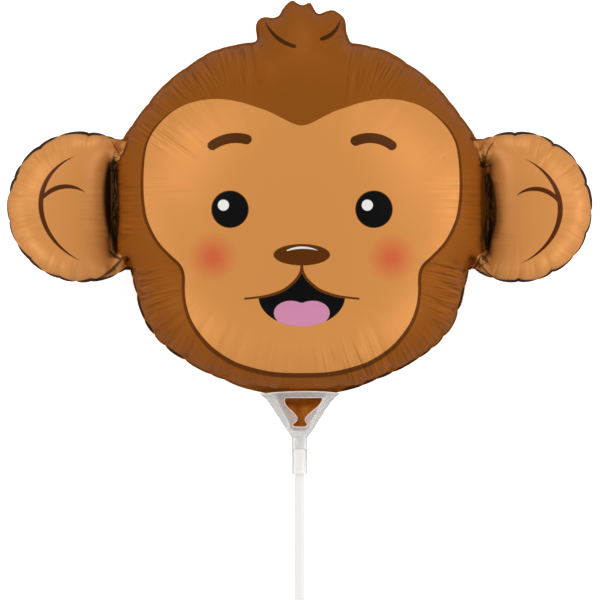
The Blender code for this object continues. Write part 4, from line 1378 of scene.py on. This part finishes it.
def funnelPoints(turn, share, inset):
    # oval section at a share of the height: a cone with a lip,
    # flare = (1 - lip)(1 - share) + lip (1 - share)^power
    flare = (1 - cup["lipShare"]) * (1 - share) + cup["lipShare"] * (1 - share) ** cup["lipPower"]
    base = cup["socketRadius"]
    across = base + (cup["mouthWidth"] / 2 - base) * flare - inset
    through = base + (cup["mouthDepth"] / 2 - base) * flare - inset
    up = cup["rise"] - share * cup["funnelHeight"] + archLift(turn, share)
    return np.column_stack([across * np.cos(turn), up, through * np.sin(turn)])


def windowLoop(side):
    # the window's outline, cut straight through the front wall, in the plan of the unrolled funnel
    half = smoothCurve(windowHalf * (cup["windowWidth"] / 2, cup["windowHeight"]), False, 12)
    loop = np.vstack([half, half[::-1] * (-1, 1)])
    loop[:, 0] += np.interp(loop[:, 1], (0, cup["windowHeight"]), cup["windowLean"])
    loop[:, 1] += cup["rise"] - cup["windowDrop"] - cup["windowHeight"]
    loop = evenLoop(loop, cup["windowStep"])
    turn = np.full(len(loop), math.pi / 2)
    share = np.full(len(loop), 0.3)
    for _ in range(40):
        share = (cup["rise"] + archLift(turn, share) - loop[:, 1]) / cup["funnelHeight"]
        across = funnelPoints(np.zeros(len(loop)), share, 0.0)[:, 0]
        turn = np.arccos(loop[:, 0] / across)
    radius = cup["socketRadius"] + (1 - share) * cup["planSpread"]
    loop = np.column_stack([radius * np.cos(turn), side * radius * np.sin(turn)])
    return loop if side > 0 else loop[::-1]


def roundedProfile(corners, radius):
    # corners of a section, each between the ends replaced by five points of a parabola
    t = np.linspace(0, 1, 5)[:, None]
    parts = [corners[:1]]
    for before, corner, after in zip(corners, corners[1:], corners[2:]):
        runs = [end - corner for end in (before, after)]
        towards = [corner + run * min(radius / np.linalg.norm(run), 0.45) for run in runs]
        parts.append((1 - t) ** 2 * towards[0] + 2 * t * (1 - t) * corner + t ** 2 * towards[1])
    return np.vstack(parts + [corners[-1:]])


def turnedRings(profile, turns):
    # rings of radius and height round the stick's axis
    radius, up = profile[:, :1], profile[:, 1:]
    rings = np.stack([radius * np.cos(turns), up + 0 * turns, radius * np.sin(turns)], axis=-1)
    return rings.reshape(-1, 3)


def ringFaces(rings):
    # triangles between each ring of point numbers and the next, seen from outside when they run downwards
    here, after = rings[:-1], rings[1:]
    nextHere, nextAfter = np.roll(here, -1, axis=1), np.roll(after, -1, axis=1)
    pairs = [(here, nextHere, nextAfter), (here, nextAfter, after)]
    return np.vstack([np.stack(three, axis=-1).reshape(-1, 3) for three in pairs])


def makeCup():
    # funnel with two windows, worked out in a round plan, and throat, bore and socket turned round the axis
    base, spread, count = cup["socketRadius"], cup["planSpread"], cup["around"]
    windows = [windowLoop(side) for side in (1, -1)]
    circle = np.arange(count) * 2 * math.pi / count
    edges = [radius * np.column_stack([np.cos(circle), np.sin(circle)]) for radius in (base, base + spread)]
    parts, fixed, first = edges + windows, [], 0
    for loop in parts:
        ring = first + np.arange(len(loop))
        fixed.append(np.column_stack([ring, np.roll(ring, -1)]))
        first += len(loop)
    for depth in cup["closeIn"]:
        parts.append((base + spread - depth) / (base + spread) * edges[1])
        for loop in windows:
            ring = loop - inwardNormals(loop) * depth
            parts.append(ring[~isInside(ring, loop) & (nearestOnLoop(ring, loop)[0] > 0.9 * depth)])
    low, high = cup["levelRoom"]
    levels = np.linspace(base + low, base + spread - high, cup["levels"])
    grid = []
    for k, radius in enumerate(levels):
        turn = circle + k % 2 * 0.02
        grid.append(radius * np.column_stack([np.cos(turn), np.sin(turn)]))
    grid = np.vstack(grid)
    parts.append(grid[(nearestOfLoops(grid, windows)[0] > cup["windowRoom"]) & ~insideAny(grid, windows)])
    points, _, triangles, _, _, _ = delaunay_2d_cdt(
        [Vector(p) for p in np.vstack(parts)], np.vstack(fixed).tolist(), [], 0, 1e-8)
    flat, triangles = np.array([p[:] for p in points]), np.array(triangles)
    middle = flat[triangles].mean(axis=1)
    keep = (np.hypot(*middle.T) > base * math.cos(math.pi / count)) & ~insideAny(middle, windows)
    triangles = triangles[keep]

    # outer and inner skins, which meet in rounded edges at the rim and round the windows
    radius, turn = np.hypot(*flat.T), np.arctan2(flat[:, 1], flat[:, 0])
    share = np.clip(1 - (radius - base) / spread, 0, 1)
    outer = funnelPoints(turn, share, 0.0)
    inner = funnelPoints(turn, share * cup["innerHeight"], cup["wall"])
    toEdge = np.minimum(base + spread - radius, nearestOfLoops(flat, windows)[0])
    full = np.sqrt(1 - (1 - np.clip(toEdge / cup["rounding"], 0, 1)) ** 2)[:, None]
    half = (outer - inner) / 2
    skins = [(outer + inner) / 2 + half * full, (outer + inner) / 2 - half * full]
    shared = full[:, 0] < 1e-3
    second = np.where(shared, np.arange(len(flat)), np.arange(len(flat)) + len(flat))
    faces = [triangles, second[triangles[:, ::-1]]]

    # throat, bore and socket, turned round the axis, from the outer skin's foot to the inner one's
    foot = np.flatnonzero(radius < base + 1e-6)
    foot = foot[np.argsort(turn[foot])]
    rise, floor = cup["rise"], cup["funnelHeight"] - cup["wall"]
    end, shoulder = cup["funnelHeight"] + cup["socketLength"], floor + cup["throatLength"]
    corners = np.array([
        (base, rise - cup["funnelHeight"]), (base, rise - end), (cup["boreRadius"], rise - end),
        (cup["boreRadius"], rise - shoulder), (cup["throatRadius"], rise - shoulder),
        (cup["throatRadius"], rise - floor),
        (base - cup["wall"], rise - cup["innerHeight"] * cup["funnelHeight"]),
    ])
    profile = roundedProfile(corners, cup["throatRounding"])[1:-1]
    rings = 2 * len(flat) + np.arange(len(profile) * len(foot)).reshape(len(profile), -1)
    faces.append(ringFaces(np.vstack([foot, rings, foot + len(flat)])))
    points = np.vstack(skins + [turnedRings(profile, turn[foot])])
    angle = math.radians(cup["turn"])
    turned = np.column_stack([
        points[:, 0] * math.cos(angle) + points[:, 2] * math.sin(angle), points[:, 1],
        points[:, 2] * math.cos(angle) - points[:, 0] * math.sin(angle)])
    faces = np.vstack(faces)
    used, faces = np.unique(faces, return_inverse=True)
    edge = 1 - softStep(toEdge, *cup["edgeGlowFade"])
    edge = np.concatenate([edge, edge, np.zeros(len(points) - 2 * len(edge))])
    return toWorld(turned[used]), faces.reshape(-1, 3), edge[used]


def makeStick():
    # outer wall's points inside the socket are marked for a painted glow, which stands in for the light that
    # the socket leads to them
    end, socketEnd = -stickDown, cup["rise"] - cup["funnelHeight"] - cup["socketLength"]
    corners = np.array([
        (stick["bore"], -0.1), (stick["bore"], stick["top"]), (stick["radius"], stick["top"]),
        (stick["radius"], socketEnd), (stick["radius"], end), (stick["bore"], end), (stick["bore"], -0.1)])
    profile = roundedProfile(corners, stick["rounding"])
    turns = np.arange(stick["around"]) * 2 * math.pi / stick["around"]
    rings = np.arange(len(profile) * len(turns)).reshape(len(profile), -1)
    rings[-1] = rings[0]
    marked = (profile[:-1, 0] > stick["bore"] + 0.0001) & (profile[:-1, 1] > socketEnd)
    return toWorld(turnedRings(profile[:-1], turns)), ringFaces(rings), np.repeat(marked, len(turns))


def milkyPlastic(name, finish):
    # painted light: where the attribute named edge is 1, along the cup's cut edges and on the stick inside
    # the socket, the plastic glows by emission, standing in for light that the wall leads
    material, tree, shader = newMaterial(name, Roughness=finish["roughness"], IOR=finish["ior"])
    paintedGlow = mixColour(tree, fromMesh(tree, "edge"), (0, 0, 0, 1), screenColour(*finish["glowColour"]))
    tree.links.new(paintedGlow, shader.inputs["Emission Color"])
    shader.inputs["Emission Strength"].default_value = finish["paintedGlow"]
    shader.inputs["Base Color"].default_value = screenColour(*finish["colour"])
    shader.inputs["Transmission Weight"].default_value = finish["transmission"]
    return material


print("working out the foil")
foilPoints, foilFaces, foilPlaces = makeFoil()
foilSkin = meshObject("foil_balloon", foilPoints, foilFaces)
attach(foilSkin, "root")
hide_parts("balloon")
for name, values in foilPlaces.items():
    addAttribute(foilSkin, name, values)
foilSkin.data.materials.append(printedFoil())
print("foil has", len(foilFaces), "triangles")

cupPoints, cupFaces, cupEdge = makeCup()
cupSkin = meshObject("moulded_cup", cupPoints, cupFaces)
addAttribute(cupSkin, "edge", cupEdge)
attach(cupSkin, "root")
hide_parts("cup")
cupSkin.data.materials.append(milkyPlastic("milky cup plastic", cup))
print("cup has", len(cupSkin.data.polygons), "triangles")

stickPoints, stickFaces, inSocket = makeStick()
stickSkin = meshObject("hollow_stick", stickPoints, stickFaces)
addAttribute(stickSkin, "edge", inSocket)
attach(stickSkin, "root")
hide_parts("stick")
stickSkin.data.materials.append(milkyPlastic("white stick plastic", stick))
print("stick has", len(stickSkin.data.polygons), "triangles")


# Studio

def seenShare(tree):
    # 1 for what the camera sees, less for what it sees through the milky plastic,
    # 0 for what lights the foil
    rays = node(tree, "ShaderNodeLightPath").outputs
    through = maths(tree, "MULTIPLY", rays["Is Transmission Ray"], studio["seenThrough"])
    return maths(tree, "MAXIMUM", rays["Is Camera Ray"], through)


# the floor looks white, and lights the foil from below no more than a grey one would
floorMaterial, tree, shader = newMaterial("pale floor", Roughness=0.9)
seen = seenShare(tree)
greys = [(grey, grey, grey, 1) for grey in studio["floorGreys"]]
tree.links.new(mixColour(tree, seen, *greys), shader.inputs["Base Color"])
tree.links.new(mixColour(tree, seen, (0, 0, 0, 1), (1, 1, 1, 1)), shader.inputs["Emission Color"])
shader.inputs["Emission Strength"].default_value = studio["floorGlow"]
size = studio["floorSize"] / 2
corners = [(-size, -size, 0), (size, -size, 0), (size, size, 0), (-size, size, 0)]
floor = meshObject("floor", corners, [(0, 1, 2, 3)])
floor.location.z = -studio["floorDrop"]
floor.data.materials.append(floorMaterial)

world = bpy.data.worlds.new("studio")
bpy.context.scene.world = world
world.use_nodes = True
tree = world.node_tree
strength = mapRange(tree, seenShare(tree), 0.0, 1.0, studio["skyStrength"], 1.0)
glossy = node(tree, "ShaderNodeLightPath").outputs["Is Glossy Ray"]
dimmed = mapRange(tree, glossy, 0.0, 1.0, 1.0, studio["skyInGloss"])
sky = tree.nodes["Background"]
sky.inputs["Color"].default_value = (1, 1, 1, 1)
tree.links.new(maths(tree, "MULTIPLY", strength, dimmed), sky.inputs["Strength"])

# each softbox: direction round the seam's normal (0 right, 90 up), degrees off it, distance, size, watts
softboxes = {
    "left key": (150, 50, 1.3, 0.8, 5.3),
    "right key": (30, 50, 1.3, 0.8, 4.6),
    "left strip": (180, 84, 1.3, 0.6, 1.9),
    "right strip": (0, 84, 1.3, 0.6, 4.2),
    "top": (90, 84, 1.3, 0.6, 3.2),
    "lower left": (222, 84, 1.3, 0.8, 6.8),
    "lower right": (318, 84, 1.3, 0.8, 6.8),
    "bottom": (270, 58, 1.3, 0.8, 1.2),
}
middle = toWorld(np.array([[0.0, foil["earRise"], studio["lampHeight"]]]))[0]
for name, (bearing, off, away, wide, watts) in softboxes.items():
    light = bpy.data.lights.new(name, "AREA")
    light.shape, light.size, light.energy = "SQUARE", wide, watts
    lamp = bpy.data.objects.new(name, light)
    a, b = math.radians(bearing), math.radians(off)
    across = math.cos(a) * np.array([1, 0, 0]) + math.sin(a) * upAxis
    direction = math.sin(b) * across + math.cos(b) * outAxis
    lamp.location = middle + away * direction
    lamp.rotation_euler = Vector(-direction).to_track_quat("-Z", "Y").to_euler()
    bpy.context.scene.collection.objects.link(lamp)

cameraData = bpy.data.cameras.new("camera")
camera = bpy.data.objects.new("camera", cameraData)
bpy.context.scene.collection.objects.link(camera)
aim = toWorld(np.array([[*studio["frameCentre"], 0.0]]))[0]
turn = Matrix((Vector((1, 0, 0)), Vector(upAxis), Vector(outAxis))).transposed().to_4x4()
camera.matrix_world = Matrix.Translation(aim + outAxis * studio["cameraAway"]) @ turn
cameraData.sensor_width = studio["sensor"]
cameraData.lens = studio["sensor"] * studio["cameraAway"] / studio["frameWidth"]
cameraData.clip_end = 30
bpy.context.scene.camera = camera
bpy.context.scene.view_settings.view_transform = "Standard"
